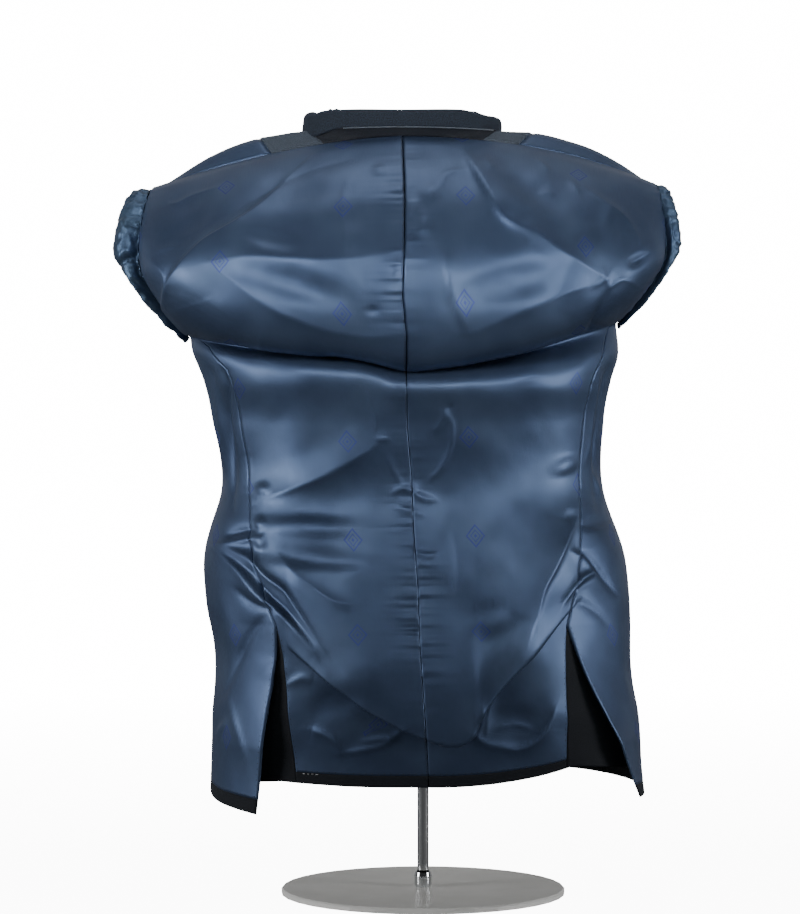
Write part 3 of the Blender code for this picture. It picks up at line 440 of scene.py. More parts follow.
FINE_CLOTH = 0.0023  # spacing of the points on the panels that show most
PLAIN_CLOTH = 0.0042
SPACING_SHARE = 0.3  # where across the back the rows' spacing is measured
COLUMN_PARTS = 9
FRONT_PARTS = 6
FRONT_COLUMNS = 5
VENT_COLUMNS = 3
FACING_PARTS = 28
LAPEL_PARTS = 21
NECK_STEPS, NECK_LINES = 40, 9
SLEEVE_SEGMENTS = 224
SLEEVE_ROUND = 0.44
PUFF_PARTS = 8
RUN_PARTS = 4
COLLAR_STEPS = 196
COLLAR_PARTS = 5
COLLAR_AHEAD = 0.02  # places ahead and back that give the collar's direction
COLLAR_CORNER = (1.4, 2.5)  # places between which its left corner drops
VENT_FACING_END = 0.06  # rows below the vent's top
HEM_SHAPE_ROW = 1.5  # the hem's rise and the flap's drop end here
PUCKER_START = 0.003  # metres from the centre seam at which its puckers stand

# The front is out of the photograph's sight: its folds are of the kinds that the back shows, measured from
# its middle.
FRONT_CREASES = (
    # height, width_left, width_right, places
    (2.6, 16, 12, (40, 700), (110, 640), (190, 600)),
    (-2.4, 10, 12, (60, 560), (120, 540), (190, 560)),
    (2.2, 12, 8, (60, 470), (110, 430), (170, 420)),
    (2.4, 12, 12, (80, 330), (120, 290), (150, 220)),
    (-2.0, 10, 12, (150, 330), (170, 280), (160, 200)),
    (2.0, 10, 8, (120, 760), (170, 720), (215, 690)),
)
SIDE_FOLDS = {
    # place across the panel from its back seam, then in millimetres: top z, bottom z, width, height
    LEFT: ((0.30, 556, 420, 7, -3.0), (0.62, 560, 440, 7, 1.8), (0.45, 360, 200, 9, 1.6)),
    RIGHT: ((0.35, 560, 400, 7, -2.6), (0.65, 560, 420, 7, 1.6), (0.50, 340, 180, 9, 1.4)),
}
SIDE_PANEL_WIDTH = 0.085
COLLAR_BUMPS = (
    # place along the collar, width, height
    (-1.93, 0.05, 0.0016),
    (-1.72, 0.07, 0.0013),
    (0.0, 0.9, -0.0016),
    (-2.55, 0.22, -0.0022),
    (1.95, 0.12, 0.0010),
)
PLEATS = {
    # angle round the armhole, half width (both in degrees), height in millimetres, how far out it is highest
    LEFT: (
        *((97, 6, 1.4, 0.3), (108, 5, -1.6, 0.4), (116, 4, 1.6, 0.5), (125, 4, -2.2, 0.3)),
        *((134, 5, 2.2, 0.5), (143, 4, -2.4, 0.4), (151, 4, 1.8, 0.6), (160, 5, -1.4, 0.5)),
        *((170, 6, 1.8, 0.6), (180, 4, -5.2, 0.5), (189, 5, 2.2, 0.5), (199, 5, -2.0, 0.4)),
        *((209, 6, 2.0, 0.5), (221, 5, -1.8, 0.4), (233, 6, 1.6, 0.4), (246, 6, -1.6, 0.4)),
        (258, 6, 1.4, 0.4),
    ),
    RIGHT: (
        *((98, 6, 1.4, 0.3), (109, 5, -1.6, 0.4), (120, 6, 1.4, 0.5), (132, 5, -1.8, 0.4)),
        *((145, 7, 1.4, 0.5), (160, 6, -1.2, 0.4), (174, 7, 1.2, 0.5), (188, 6, -1.4, 0.5)),
        *((202, 6, 1.4, 0.4), (216, 5, -1.6, 0.4), (230, 6, 1.2, 0.4), (246, 6, -1.4, 0.4)),
    ),
}
# The crumples on the back half of each sleeve head: as the coat's creases, but across is out from the seam.
PUFF_CREASES = {
    LEFT: (
        # height, width_left, width_right, places
        (-5.0, 2.5, 1.6, (26, 659), (13, 667), (-1, 675)),
        (1.6, 4, 3, (26, 668), (14, 674), (2, 680)),
        (-2.2, 1.6, 2, (15, 713), (2, 714)),
        (-2.6, 1.6, 2, (13, 703), (0, 699)),
        (-1.8, 1.6, 1.6, (19, 697), (6, 693)),
        (2.2, 3, 3, (24, 708), (12, 692), (8, 678)),
        (1.8, 2.5, 3, (18, 716), (16, 700), (20, 684)),
        (-1.6, 2, 2, (9, 690), (4, 680)),
        (-2.2, 2, 2.5, (6, 657), (4, 644), (-3, 628)),
        (2.0, 3, 3, (20, 652), (12, 636), (0, 616)),
        (-1.8, 2, 3, (14, 646), (4, 630), (-8, 610)),
        (1.6, 2, 3, (4, 620), (-8, 604), (-22, 590)),
        (-1.4, 2, 2, (-2, 612), (-16, 596)),
    ),
    RIGHT: (
        (-2.6, 1.6, 2, (10, 716), (9, 700), (12, 676)),
        (-2.0, 1.6, 1.6, (3, 724), (2, 690), (3, 640)),
        (1.6, 2.5, 3, (15, 718), (15, 690), (13, 662)),
        (1.4, 2, 2, (6, 716), (6, 690), (5, 660)),
        (-1.4, 2, 2, (14, 690), (8, 662), (0, 640)),
        (1.4, 3, 3, (10, 668), (0, 644), (-14, 618)),
        (-1.4, 2, 2, (4, 652), (-8, 630)),
    ),
}
CRUMPLES = ((0.020, 0.0011), (0.012, 0.0007), (0.0075, 0.0004))  # waves' lengths and heights

# ---------------- seams, stitches and small pieces

# The depth and width of each seam's furrow.
CENTRE_FURROW = (0.0003, 0.0012)
SIDE_FURROW = (0.0004, 0.0014)
ARM_FURROW = (0.0014, 0.0020)
FRONT_FURROW = (0.0010, 0.0015)
# The height of the puckers beside each seam and how far they reach from it.
CENTRE_PUCKER = (0.00075, 0.010)
SIDE_PUCKER = (0.00016, 0.007)
ARM_PUCKER = (0.00045, 0.012)
FRONT_PUCKER = (0.0002, 0.007)
FRONT_ARM_PUCKER = (0.0004, 0.012)
PUCKER_LENGTHS = (0.0065, 0.0095, 0.014, 0.023)
# On the back's upper half the left side laps over the right: how much higher or lower each lies, how far in.
LAP_OVER = (0.0005, 0.010)
LAP_UNDER = (0.0004, 0.004)
UPPER_HALF, LOWER_HALF = (8.5, 9.3), (7.0, 7.8)  # rows over which each half's folds come in or go out
LAP_ROWS = (9.0, 9.8)
ARM_ROWS = (8.0, 8.6)

STITCH_RINGS = (
    # along, thickness, height over the cloth, each as a share
    (-0.50, 0.40, -0.6),
    (-0.28, 1.00, 0.3),
    (0.28, 1.00, 0.3),
    (0.50, 0.40, -0.6),
)
# A stitch's length, the gap to the next and the half thickness of its thread.
SEAM_STITCH = (0.0019, 0.0009, 0.00022)
EDGE_STITCH = (0.0016, 0.0042, 0.00024)
FLAP_STITCH = (0.0016, 0.0042, 0.00026)
HEM_STITCH = (0.0018, 0.0045, 0.00024)
FACING_STITCH = (0.0016, 0.0040, 0.00024)
BASTING_STITCH = (0.0026, 0.0020, 0.00032)
# The painted shadow bar in the centre seam's furrow: its half thickness and how deep it sinks.
SEAM_SHADOW_THICK = 0.00034
SEAM_SHADOW_SINK = 0.00005
SEAM_STITCH_IN = 0.0014  # metres from the seam
SEAM_STOP = 0.02  # rows left free at both ends of the centre seam
SEAM_PLACES, FACING_PLACES, RUN_PLACES = 1200, 500, 200  # places along each run that is sewn
VENT_STITCH_SHARE = 0.985  # how far across the back the vent's stitches lie
HEM_STITCH_SPAN = (0.02, 0.97)
FACING_STITCH_IN = (0.0022, 0.006)
FACING_STITCH_END = 15.6
HEM_STITCH_UP = 0.03
BASTING = (-0.128, -0.106)  # from x to x
BASTING_DROP = 0.003

POCKETS = (
    # name, row, first share, last share; a guess, as the photograph hides the front
    ("breast", 11.0, 0.36, 0.76),
    ("ticket", 3.4, 0.34, 0.56),
)
POCKET_WALL = 0.0011
POCKET_PLACES, TACK_PLACES, LIP_PLACES = 56, 12, 9  # points along a pocket, up its tacks and across a lip
LIP_WIDTH = 0.0058
LIP_RISE = 0.0014
LIP_STAND = 0.0002  # metres that a lip stands off the cloth at its edges
LIP_GAP = 0.0003  # metres from the mouth's middle to each lip
TACK_OVER = 1.1  # a tack's reach, in widths of a lip
TACK_THREAD = 0.0006
PIPING_RUN = (-1.4, 2.6)  # from place to place along the coat's edge
PIPING_OUT, PIPING_DOWN, PIPING_THICK = 0.0010, 0.0004, 0.00055
PIPING_PLACES = 120
SHARP_ANGLE = radians(40)

AIR_FRONT, AIR_BEHIND, AIR_SEEN = 0.03, 0.42, 16.0
PAPER_NEAR, PAPER_LIGHT = 11.0, 0.05
KEY_SPREAD = 33  # degrees: a cloth grid on each front softbox keeps its light on the coat's upper half
SOFTBOXES = (
    # name, place, aim, size, watts, spread in degrees
    ("softbox_left", (-0.95, -2.0, 1.30), (0, -0.15, 0.82), (1.3, 0.45), 1.9, KEY_SPREAD),
    ("softbox_right", (0.95, -2.0, 1.30), (0, -0.15, 0.82), (1.3, 0.45), 1.75, KEY_SPREAD),
    ("softbox_side_left", (-2.4, -0.95, 0.40), (0, 0, 0.22), (0.7, 1.2), 6.8, 70),
    ("softbox_side_right", (2.4, -0.95, 0.40), (0, 0, 0.22), (0.7, 1.2), 6.0, 70),
    ("softbox_top", (0, 0.1, 2.6), (0, 0, 0), (1.2, 0.8), 2.2, 80),
)

# ---------------- the coat's surfaces, as its solids have them


def between(low, high, share):
    return low + (high - low) * share


def fade(low, high, value):
    """0 below `low`, 1 above `high` and smooth between them."""
    share = np.clip((value - low) / (high - low), 0.0, 1.0)
    return share * share * (3 - 2 * share)


def read_table(table, place, column=1):
    rows = np.array(sorted(table))
    return np.interp(place, rows[:, 0], rows[:, column])


def read_side(table, place, side):
    """One side's value in a table whose columns are the place, the left and the right."""
    return read_table(table, place, 1 if side == LEFT else 2)


def smooth_through(points, place):
    """Points on the smooth curve through `points`, whose first axis is one step of `place` for each."""
    points = np.asarray(points, float)
    ends = (2 * points[:1] - points[1:2], 2 * points[-1:] - points[-2:-1])
    padded = np.concatenate([ends[0], points, ends[1]])
    place = np.asarray(place, float)
    k = np.clip(np.floor(place).astype(int), 0, len(points) - 2)
    t = place - k
    if points.ndim == 3:  # one curve for each entry of `place`
        each = np.arange(len(place))
        p0, p1, p2, p3 = (padded[k + n, each] for n in range(4))
    else:
        p0, p1, p2, p3 = (padded[k + n] for n in range(4))
    if p1.ndim > np.ndim(t):
        t = np.expand_dims(t, -1)
    squared = 2 * p0 - 5 * p1 + 4 * p2 - p3
    cubed = 3 * p1 - p0 - 3 * p2 + p3
    return 0.5 * (2 * p1 + (p2 - p0) * t + squared * t**2 + cubed * t**3)


def lean(z):
    return read_table(LEAN, z)


def edge_line(side, place):
    """The coat's finished edge on one side, from the centre back of the neck round to the front hem."""
    across, y, z = np.array(EDGE_LINE).T
    points = np.stack([lean(z) + side * across, y, z], axis=1)
    other = points[1].copy()
    other[0] = lean(other[2]) - side * EDGE_LINE[1][0]
    return smooth_through(np.concatenate([[other], points]), np.asarray(place, float) + 1)


def armhole(side, angle, facing):
    low_x, middle_x, top_x, centre_z, half_height, half_depth = ARMHOLE[side]
    rise = np.sin(angle)
    end_x = np.where(rise > 0, top_x, low_x)
    x = between(middle_x, end_x, np.abs(rise) ** 1.5)
    return np.stack([x, facing * half_depth * np.cos(angle), centre_z + half_height * rise], axis=-1)


def row_edge(side, row, facing):
    if row < UNDERARM_ROW:
        left_x, right_x, z = SIDE_EDGE[row]
        return np.array([left_x if side == LEFT else right_x, 0.0, z])
    return armhole(side, np.array(radians(ARMHOLE_ANGLES[row - UNDERARM_ROW])), facing)


def row_curve(inner, edge, share, roundness, fall):
    across = np.sin(share * pi / 2)
    depth = np.maximum(0.0, 1 - across**roundness) ** (1 / roundness)
    return np.stack(
        [
            between(inner[0], edge[0], across),
            between(edge[1], inner[1], depth),
            between(inner[2], edge[2], across**fall),
        ],
        axis=-1,
    )


def back_row(side, row, share):
    y, z, roundness, *falls = BACK_ROWS[row]
    fall = falls[0 if side == LEFT else 1]
    points = row_curve((lean(z), y, z), row_edge(side, row, -1), share, roundness, fall)
    if side == LEFT and row in CREASE_ROWS:
        along = np.sin(share * pi / 2) / CREASE_ARCH_AT
        points[:, 2] += CREASE_ARCH * (along * np.exp(1 - along)) ** 2
    return points


def front_row(side, row, share):
    if row == SEAM_ROW:
        return back_row(side, row, between(NECK_SHARE, 1.0, share))
    place, roundness, *falls = FRONT_ROWS[row]
    fall = falls[0 if side == LEFT else 1]
    return row_curve(edge_line(side, place), row_edge(side, row, 1), share, roundness, fall)


def fold_height(x, z):
    total = np.zeros_like(x)
    for start_x, start_z, end_x, end_z, width, height in BACK_FOLDS:
        run_x, run_z = end_x - start_x, end_z - start_z
        along = ((x - start_x) * run_x + (z - start_z) * run_z) / (run_x**2 + run_z**2)
        nearest = np.clip(along, 0.0, 1.0)
        away = np.hypot(x - start_x - nearest * run_x, z - start_z - nearest * run_z)
        total += height * np.exp(-((away / width) ** 2)) * np.sin(pi * between(FOLD_START, FOLD_END, nearest))
    return total


def pouch_shift(x, z):
    """How far the cloth of the pouch stands out and how far it rolls down over its lower edge."""
    line = smooth_through(POUCH_EDGE, np.linspace(0, len(POUCH_EDGE) - 1, 8 * len(POUCH_EDGE)))
    above = (z - np.interp(x, line[:, 0], line[:, 1])) / POUCH_LIP
    lip = fade(-0.5, 0.5, above) * np.maximum(0.0, 1 - ((x - POUCH_MIDDLE) / POUCH_REACH) ** 2)
    height = np.maximum(above, 0.0) * POUCH_LIP
    out = POUCH_DEPTH * np.exp(-((height / POUCH_HEIGHT) ** 2))
    down = POUCH_ROLL * np.exp(-((height / (0.4 * POUCH_HEIGHT)) ** 2))
    return lip * out, np.sqrt(lip) * down


def back_point(side, share, row):
    rows = np.stack([back_row(side, k, share) for k in range(len(BACK_ROWS))])
    points = smooth_through(rows, row)
    keep = np.clip((1 - share) / EDGE_KEEP, 0.0, 1.0)
    pouch_out, pouch_down = pouch_shift(points[:, 0], points[:, 2])
    points[:, 1] -= keep * (fold_height(points[:, 0], points[:, 2]) + pouch_out)
    points[:, 2] -= keep * pouch_down
    return points


def neck_pull(side, row):
    seam_start = front_row(side, SEAM_ROW, np.zeros(1))[0]
    inner = np.stack([front_row(side, k, np.zeros(1))[0] for k in range(SEAM_ROW + 1)])
    turn = SEAM_ROW - 0.5
    if row <= turn:
        target = edge_line(side, between(NECK_END, FRONT_ROWS[-1][0], 2 * (turn - row)))
    else:
        target = between(edge_line(side, NECK_END), seam_start, 2 * (row - turn))
    return target - smooth_through(inner, row)


def front_point(side, share, row):
    rows = np.stack([front_row(side, k, share) for k in range(SEAM_ROW + 1)])
    points = smooth_through(rows, row)
    for value in np.unique(row[row > SEAM_ROW - 1]):
        here = row == value
        points[here] += neck_pull(side, value) * ((1 - share[here]) ** 3)[:, None]
    return points


def unit(vectors):
    return vectors / np.maximum(np.linalg.norm(vectors, axis=-1, keepdims=True), 1e-12)


def surface(point_at, side, share, row):
    """Points, outward normals and the metres for each step of share, at these places of the coat."""
    step_share, step_row = 0.004, 0.02
    share_low, share_high = np.maximum(share - step_share, 0.0), np.minimum(share + step_share, 1.0)
    row_low, row_high = np.maximum(row - step_row, 0.0), np.minimum(row + step_row, float(SEAM_ROW))
    along = point_at(side, share_high, row) - point_at(side, share_low, row)
    up = point_at(side, share, row_high) - point_at(side, share, row_low)
    turn = side if point_at is back_point else -side
    speed = np.linalg.norm(along, axis=-1) / (share_high - share_low)
    return point_at(side, share, row), unit(np.cross(along, up)) * turn, speed


# ---------------- relief: creases, swells, seams and puckers


def crease_lift(creases, x, z):
    """Height in metres of the hand-laid creases at these places, given in metres."""
    x, z = x * 1000, z * 1000
    total = np.zeros_like(x)
    for height, width_left, width_right, *places in creases:
        line = smooth_through(places, np.linspace(0, len(places) - 1, CREASE_STEPS + 1))
        reach = CREASE_REACH * max(width_left, width_right)
        near = (x > line[:, 0].min() - reach) & (x < line[:, 0].max() + reach)
        near &= (z > line[:, 1].min() - reach) & (z < line[:, 1].max() + reach)
        if not near.any():
            continue
        place = np.stack([x[near], z[near]], axis=1)
        best = np.full(len(place), 1e9)
        offset, along = np.zeros(len(place)), np.zeros(len(place))
        for k in range(CREASE_STEPS):
            run = line[k + 1] - line[k]
            from_start = place - line[k]
            share = np.clip(from_start @ run / (run @ run), 0.0, 1.0)
            apart = from_start - share[:, None] * run
            distance = np.hypot(apart[:, 0], apart[:, 1])
            closer = distance < best
            best[closer] = distance[closer]
            cross = run[0] * from_start[:, 1] - run[1] * from_start[:, 0]
            offset[closer] = (np.sign(cross) * distance)[closer]
            along[closer] = ((k + share) / CREASE_STEPS)[closer]
        side_blend = fade(-1.5, 1.5, offset)
        width = between(width_right, width_left, side_blend)
        rounded = np.sqrt(offset**2 + CREST**2) - CREST
        taper = np.sin(pi * between(0.03, 0.97, along)) ** 0.6
        total[near] += height * np.exp(-rounded / width) * taper
    return total / 1000


def swell_lift(swells, x, z):
    """Height in metres of the low round forms at these places, given in metres."""
    total = np.zeros_like(x)
    for middle_x, middle_z, half_width, half_height, turn, height in swells:
        across, up = x * 1000 - middle_x, z * 1000 - middle_z
        cosine, sine = cos(radians(turn)), sin(radians(turn))
        along, aside = across * cosine + up * sine, up * cosine - across * sine
        reach = (along / half_width) ** 2 + (aside / half_height) ** 2
        total += height * np.exp(-(reach**1.3))
    return total / 1000


def loose_waves(x, z, seed):
    """Low uneven waves of the loose cloth, in metres."""
    draw = np.random.default_rng(seed)
    total = np.zeros_like(x)
    for length, height in WAVES:
        for _ in range(7):
            turn, phase = draw.uniform(0, pi), draw.uniform(0, 2 * pi)
            stretch = draw.uniform(0.75, 1.35) * 2 * pi / (length / 1000)
            total += height / 1000 * 0.4 * np.sin((x * np.cos(turn) + z * np.sin(turn)) * stretch + phase)
    return total


def seam_dip(distance, depth, width):
    """A seam's furrow with the low swell that its allowance makes on both sides."""
    furrow = np.exp(-((distance / width) ** 2))
    swell = np.exp(-(((distance - 2.6 * width) / width) ** 2))
    return -depth * furrow + 0.35 * depth * swell


def puckers(distance, up, seed, height, reach, strength=1.0):
    """Short waves that stand off a seam, fading out across `reach`."""
    draw = np.random.default_rng(seed)
    wave = np.zeros_like(up)
    for length in PUCKER_LENGTHS:
        tall, stretch, phase = draw.uniform(0.5, 1.0), draw.uniform(0.9, 1.1), draw.uniform(0, 6)
        wave += tall * np.sin(2 * pi * up / length * stretch + phase)
    loose = 0.6 + 0.4 * np.sin(2 * pi * up / 0.11 + draw.uniform(0, 6))
    return height * wave * loose * strength * np.exp(-distance / reach)


def seam_share(side, row):
    return read_side(SIDE_SEAM, row, side)


def lining_share(side, row):
    at_vent = seam_share(side, np.full_like(row, VENT_ROW))
    below = between(LINING_AT_HEM[side], at_vent, row / VENT_ROW)
    return np.where(row >= VENT_ROW, seam_share(side, row), below)


def facing_share(side, row):
    return between(FACING_AT_HEM[side], seam_share(side, np.full_like(row, VENT_ROW)), row / VENT_ROW)


def back_relief(side, share, row, points, speed):
    x, z = points[:, 0], points[:, 2]
    edge = fade(0.0, 0.10, 1 - share) * fade(0.0, 0.9, SEAM_ROW - row)
    lift = fade(*UPPER_HALF, row) * (crease_lift(UPPER_CREASES, x, z) + swell_lift(UPPER_SWELLS, x, z))
    lower = 1 - fade(*LOWER_HALF, row)
    lift += lower * LOWER_DEPTH * (crease_lift(LOWER_CREASES, x, z) + swell_lift(LOWER_SWELLS, x, z))
    lift = edge * (lift + loose_waves(x, z, 3))
    from_centre = share * speed
    lap = fade(*LAP_ROWS, row)
    if side == LEFT:
        lift += lap * LAP_OVER[0] * np.exp(-from_centre / LAP_OVER[1])
    else:
        lift -= lap * LAP_UNDER[0] * np.exp(-((from_centre / LAP_UNDER[1]) ** 2))
    lift += seam_dip(from_centre, *CENTRE_FURROW) * (1 - lap)
    strength = read_side(CENTRE_PUCKERS, z, side)
    off_seam = 1 - np.exp(-from_centre / PUCKER_START)
    lift += puckers(from_centre, z, 11 + side, *CENTRE_PUCKER, strength) * edge * off_seam
    seam = np.where((row < UNDERARM_ROW) & (row >= VENT_ROW), seam_share(side, row), -1.0)
    from_seam = np.abs(share - seam) * speed
    beside = seam_dip(from_seam, *SIDE_FURROW) + puckers(from_seam, z, 21 + side, *SIDE_PUCKER)
    lift += beside * fade(VENT_ROW, VENT_ROW + 0.2, row)
    from_arm = (1 - share) * speed
    beside = seam_dip(from_arm, *ARM_FURROW) + puckers(from_arm, z, 31 + side, *ARM_PUCKER)
    return lift + fade(*ARM_ROWS, row) * beside


def hem_rise(side, share, row):
    across = np.minimum(1.0, (share / RISE_SHARE) ** 2)
    return BACK_HEM_RISE[side] * across * np.maximum(0.0, 1 - row / HEM_SHAPE_ROW)


def fine_rows(first, last, spacing=FINE_CLOTH):
    """The solids' rows from first to last, with points added so that they are about `spacing` apart."""
    rows = [row for row in ROWS if first <= row <= last]
    share = np.full(len(rows), SPACING_SHARE)
    points = back_point(RIGHT, share, np.array(rows))
    made = [rows[0]]
    for k in range(len(rows) - 1):
        parts = max(1, round(np.linalg.norm(points[k + 1] - points[k]) / spacing))
        made += list(np.linspace(rows[k], rows[k + 1], parts + 1)[1:])
    return np.array(made)


def dressed_back(side, share, row):
    """The back's cloth at a grid of places, with all its relief."""
    share, row = np.broadcast_arrays(share, row)
    shape = share.shape
    share, row = share.ravel(), row.ravel()
    points, normals, speed = surface(back_point, side, share, row)
    middle = share == 0
    if middle.any():  # both halves share the normal that lies between theirs
        other = surface(back_point, -side, share[middle], row[middle])[1]
        normals[middle] = unit(normals[middle] + other)
    points = points + normals * back_relief(side, share, row, points, speed)[:, None]
    points[:, 0] += read_table(SEAM_WANDER, points[:, 2]) * np.exp(-share * speed / SEAM_WANDER_REACH)
    points[:, 2] += hem_rise(side, share, row)
    return points.reshape(*shape, 3)


def front_relief(side, share, row, points, speed):
    x, z = points[:, 0], points[:, 2]
    edge = fade(0.0, 0.10, 1 - share) * fade(0.0, 0.12, share) * fade(0.0, 0.9, SEAM_ROW - row)
    lift = edge * (crease_lift(FRONT_CREASES, x * side, z) + loose_waves(x, z, 5))
    from_facing = np.abs(share - read_side(FACING_SHARE, row, side)) * speed
    lift += seam_dip(from_facing, *FRONT_FURROW)
    lift += edge * puckers(from_facing, z, 41 + side, *FRONT_PUCKER)
    seam = np.where(row < UNDERARM_ROW, read_table(FRONT_SEAM, row), -1.0)
    lift += seam_dip(np.abs(share - seam) * speed, *FRONT_FURROW) * (1 - fade(7.6, 8.0, row))
    from_arm = (1 - share) * speed
    beside = seam_dip(from_arm, *ARM_FURROW) + puckers(from_arm, z, 51 + side, *FRONT_ARM_PUCKER)
    return lift + fade(*ARM_ROWS, row) * beside


def dressed_front(side, share, row, above=0.0):
    """The front's cloth at a grid of places, with its relief, or a surface that lies `above` it."""
    share, row, above = np.broadcast_arrays(share, row, above)
    points, normals, speed = surface(front_point, side, share.ravel(), row.ravel())
    lift = front_relief(side, share.ravel(), row.ravel(), points, speed) + above.ravel()
    return (points + normals * lift[:, None]).reshape(*share.shape, 3)


# ---------------- cloth as a mesh


def cloth_metres(points):
    """Each point's place on the flat cloth, in metres: along its rows and up its first column."""
    across = np.zeros(points.shape[:2])
    across[:, 1:] = np.cumsum(np.linalg.norm(np.diff(points, axis=1), axis=-1), axis=1)
    up = np.zeros(points.shape[:2])
    up[1:] = np.cumsum(np.linalg.norm(np.diff(points, axis=0), axis=-1), axis=0)
    return np.stack([across, np.broadcast_to(up.mean(axis=1)[:, None], across.shape)], axis=-1)


def deselect_all():
    bpy.ops.object.select_all(action="DESELECT")


def pick(piece):
    """Selects one piece alone, for the next step on it."""
    deselect_all()
    piece.select_set(True)
    bpy.context.view_layer.objects.active = piece


def finish_with(piece, kind, **settings):
    """Adds a modifier to a piece and applies it."""
    modifier = piece.modifiers.new(kind.title(), kind)
    for name, value in settings.items():
        setattr(modifier, name, value)
    pick(piece)
    bpy.ops.object.modifier_apply(modifier=modifier.name)


def add_piece(name, vertices, faces, looks):
    mesh = bpy.data.meshes.new(name)
    mesh.from_pydata(vertices, [], faces)
    for look in looks:
        mesh.materials.append(look)
    mesh.shade_smooth()
    piece = bpy.data.objects.new(name, mesh)
    bpy.context.scene.collection.objects.link(piece)
    return piece


def add_cloth(name, points, metres, wall, looks, outward, keep=None, closed=False):
    """A sheet on a grid of points, with its wall inwards. `outward` gives rough outward directions, or is
    None where the grid's rows already run to the right and up as seen from outside."""
    rows, columns = points.shape[:2]
    index = np.arange(rows * columns).reshape(rows, columns)
    if closed:
        index = np.concatenate([index, index[:, :1]], axis=1)
        metres = np.concatenate([metres, 2 * metres[:, -1:] - metres[:, -2:-1]], axis=1)
    a, b, c, d = index[:-1, :-1], index[:-1, 1:], index[1:, 1:], index[1:, :-1]
    corners = [metres[:-1, :-1], metres[:-1, 1:], metres[1:, 1:], metres[1:, :-1]]
    if keep is None:
        keep = np.ones(a.shape, bool)
    faces = np.stack([a[keep], b[keep], c[keep], d[keep]], axis=1)
    flat = np.stack([corner[keep] for corner in corners], axis=1)
    vertices = points.reshape(-1, 3)
    first, second, _, fourth = (vertices[faces[:, k]] for k in range(4))
    if outward is not None and np.sum(np.cross(second - first, fourth - first) * outward(first)) < 0:
        faces, flat = faces[:, ::-1], flat[:, ::-1]
    used, faces = np.unique(faces, return_inverse=True)
    piece = add_piece(name, vertices[used].tolist(), faces.reshape(-1, 4).tolist(), looks)
    layer = piece.data.uv_layers.new(name="cloth")
    layer.data.foreach_set("uv", flat.reshape(-1).astype(np.float32))
    # Where a second look is given, it is the wrong side's.
    finish_with(piece, "SOLIDIFY", thickness=wall, offset=-1.0, use_rim=True, material_offset=len(looks) - 1)
    return piece


def ride_and_replace(piece, slot, *nodes):
    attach(piece, "root")
    if nodes:
        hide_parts(*nodes)


def lay_panel(node, ending, points, looks, slot="dark_suiting", keep=None):
    """A panel's cloth in place of its solid."""
    metres = cloth_metres(points)
    piece = add_cloth(f"{node}_{ending}", points, metres, PANEL_WALL, looks, away_from_form, keep)
    ride_and_replace(piece, slot, node)
    return piece


# ---------------- finishes


def linear(colour):
    """A linear colour from an sRGB hex value."""
    parts = [int(colour[k : k + 2], 16) / 255 for k in (1, 3, 5)]
    return (*(c / 12.92 if c <= 0.04045 else ((c + 0.055) / 1.055) ** 2.4 for c in parts), 1.0)


def add_node(tree, kind, inputs=(), **settings):
    """One node with its settings; `inputs` gives a value or another node's socket for each input."""
    node = tree.nodes.new(kind)
    for name, value in settings.items():
        setattr(node, name, value)
    for name, value in dict(inputs).items():
        if isinstance(value, bpy.types.NodeSocket):
            tree.links.new(value, node.inputs[name])
        else:
            node.inputs[name].default_value = value
    return node


def start_finish(name, **values):
    """A material whose even values are set straight on its shader."""
    made = bpy.data.materials.new(name)
    made.use_nodes = True
    shader = made.node_tree.nodes["Principled BSDF"]
    for key, value in values.items():
        shader.inputs[key.replace("_", " ")].default_value = value
    return made, made.node_tree, shader


def join(tree, shader, sockets):
    """Links each named input of a shader to its socket."""
    for name, socket in sockets.items():
        tree.links.new(socket, shader.inputs[name])


def math(tree, operation, first, second=0.0):
    return add_node(tree, "ShaderNodeMath", {0: first, 1: second}, operation=operation).outputs[0]


def plus(tree, first, second):
    return math(tree, "ADD", first, second)


def times(tree, first, second):
    return math(tree, "MULTIPLY", first, second)


def noise(tree, place, scale, detail, dimensions="3D"):
    inputs = {"Vector": place, "Scale": scale, "Detail": detail}
    return add_node(tree, "ShaderNodeTexNoise", inputs, noise_dimensions=dimensions).outputs["Fac"]


def two_tone(tree, factor, *stops):
    """A colour that runs between two stops, each a place and a hex value."""
    node = add_node(tree, "ShaderNodeValToRGB", {"Fac": factor})
    for element, (place, colour) in zip(node.color_ramp.elements, stops):
        element.position, element.color = place, linear(colour)
    return node.outputs["Color"]


def bump(tree, height, strength, distance):
    inputs = {"Height": height, "Strength": strength, "Distance": distance}
    return add_node(tree, "ShaderNodeBump", inputs).outputs["Normal"]


def object_place(tree):
    return add_node(tree, "ShaderNodeTexCoord").outputs["Object"]


def mix(tree, kind, factor, first, second):
    inputs = {"Factor": factor, "A": first, "B": second}
    return add_node(tree, "ShaderNodeMix", inputs, data_type=kind).outputs["Result"]


MOTIF_ACROSS, MOTIF_UP = 0.124, 0.104  # metres from one woven motif to the next
MOTIF_SIZE = 0.0125  # half its height
MOTIF_SLANT = 1.25  # its height for its width
MOTIF_LINES = (
    # place from its middle to its rim, half width
    (0.90, 0.10),
    (0.48, 0.055),
    (0.00, 0.17),
)
MOTIF_BLUE = "#414a88"
COCKLE = 3.0  # height of the cockles, in heights of a slub
TWILL_TURN = radians(42)


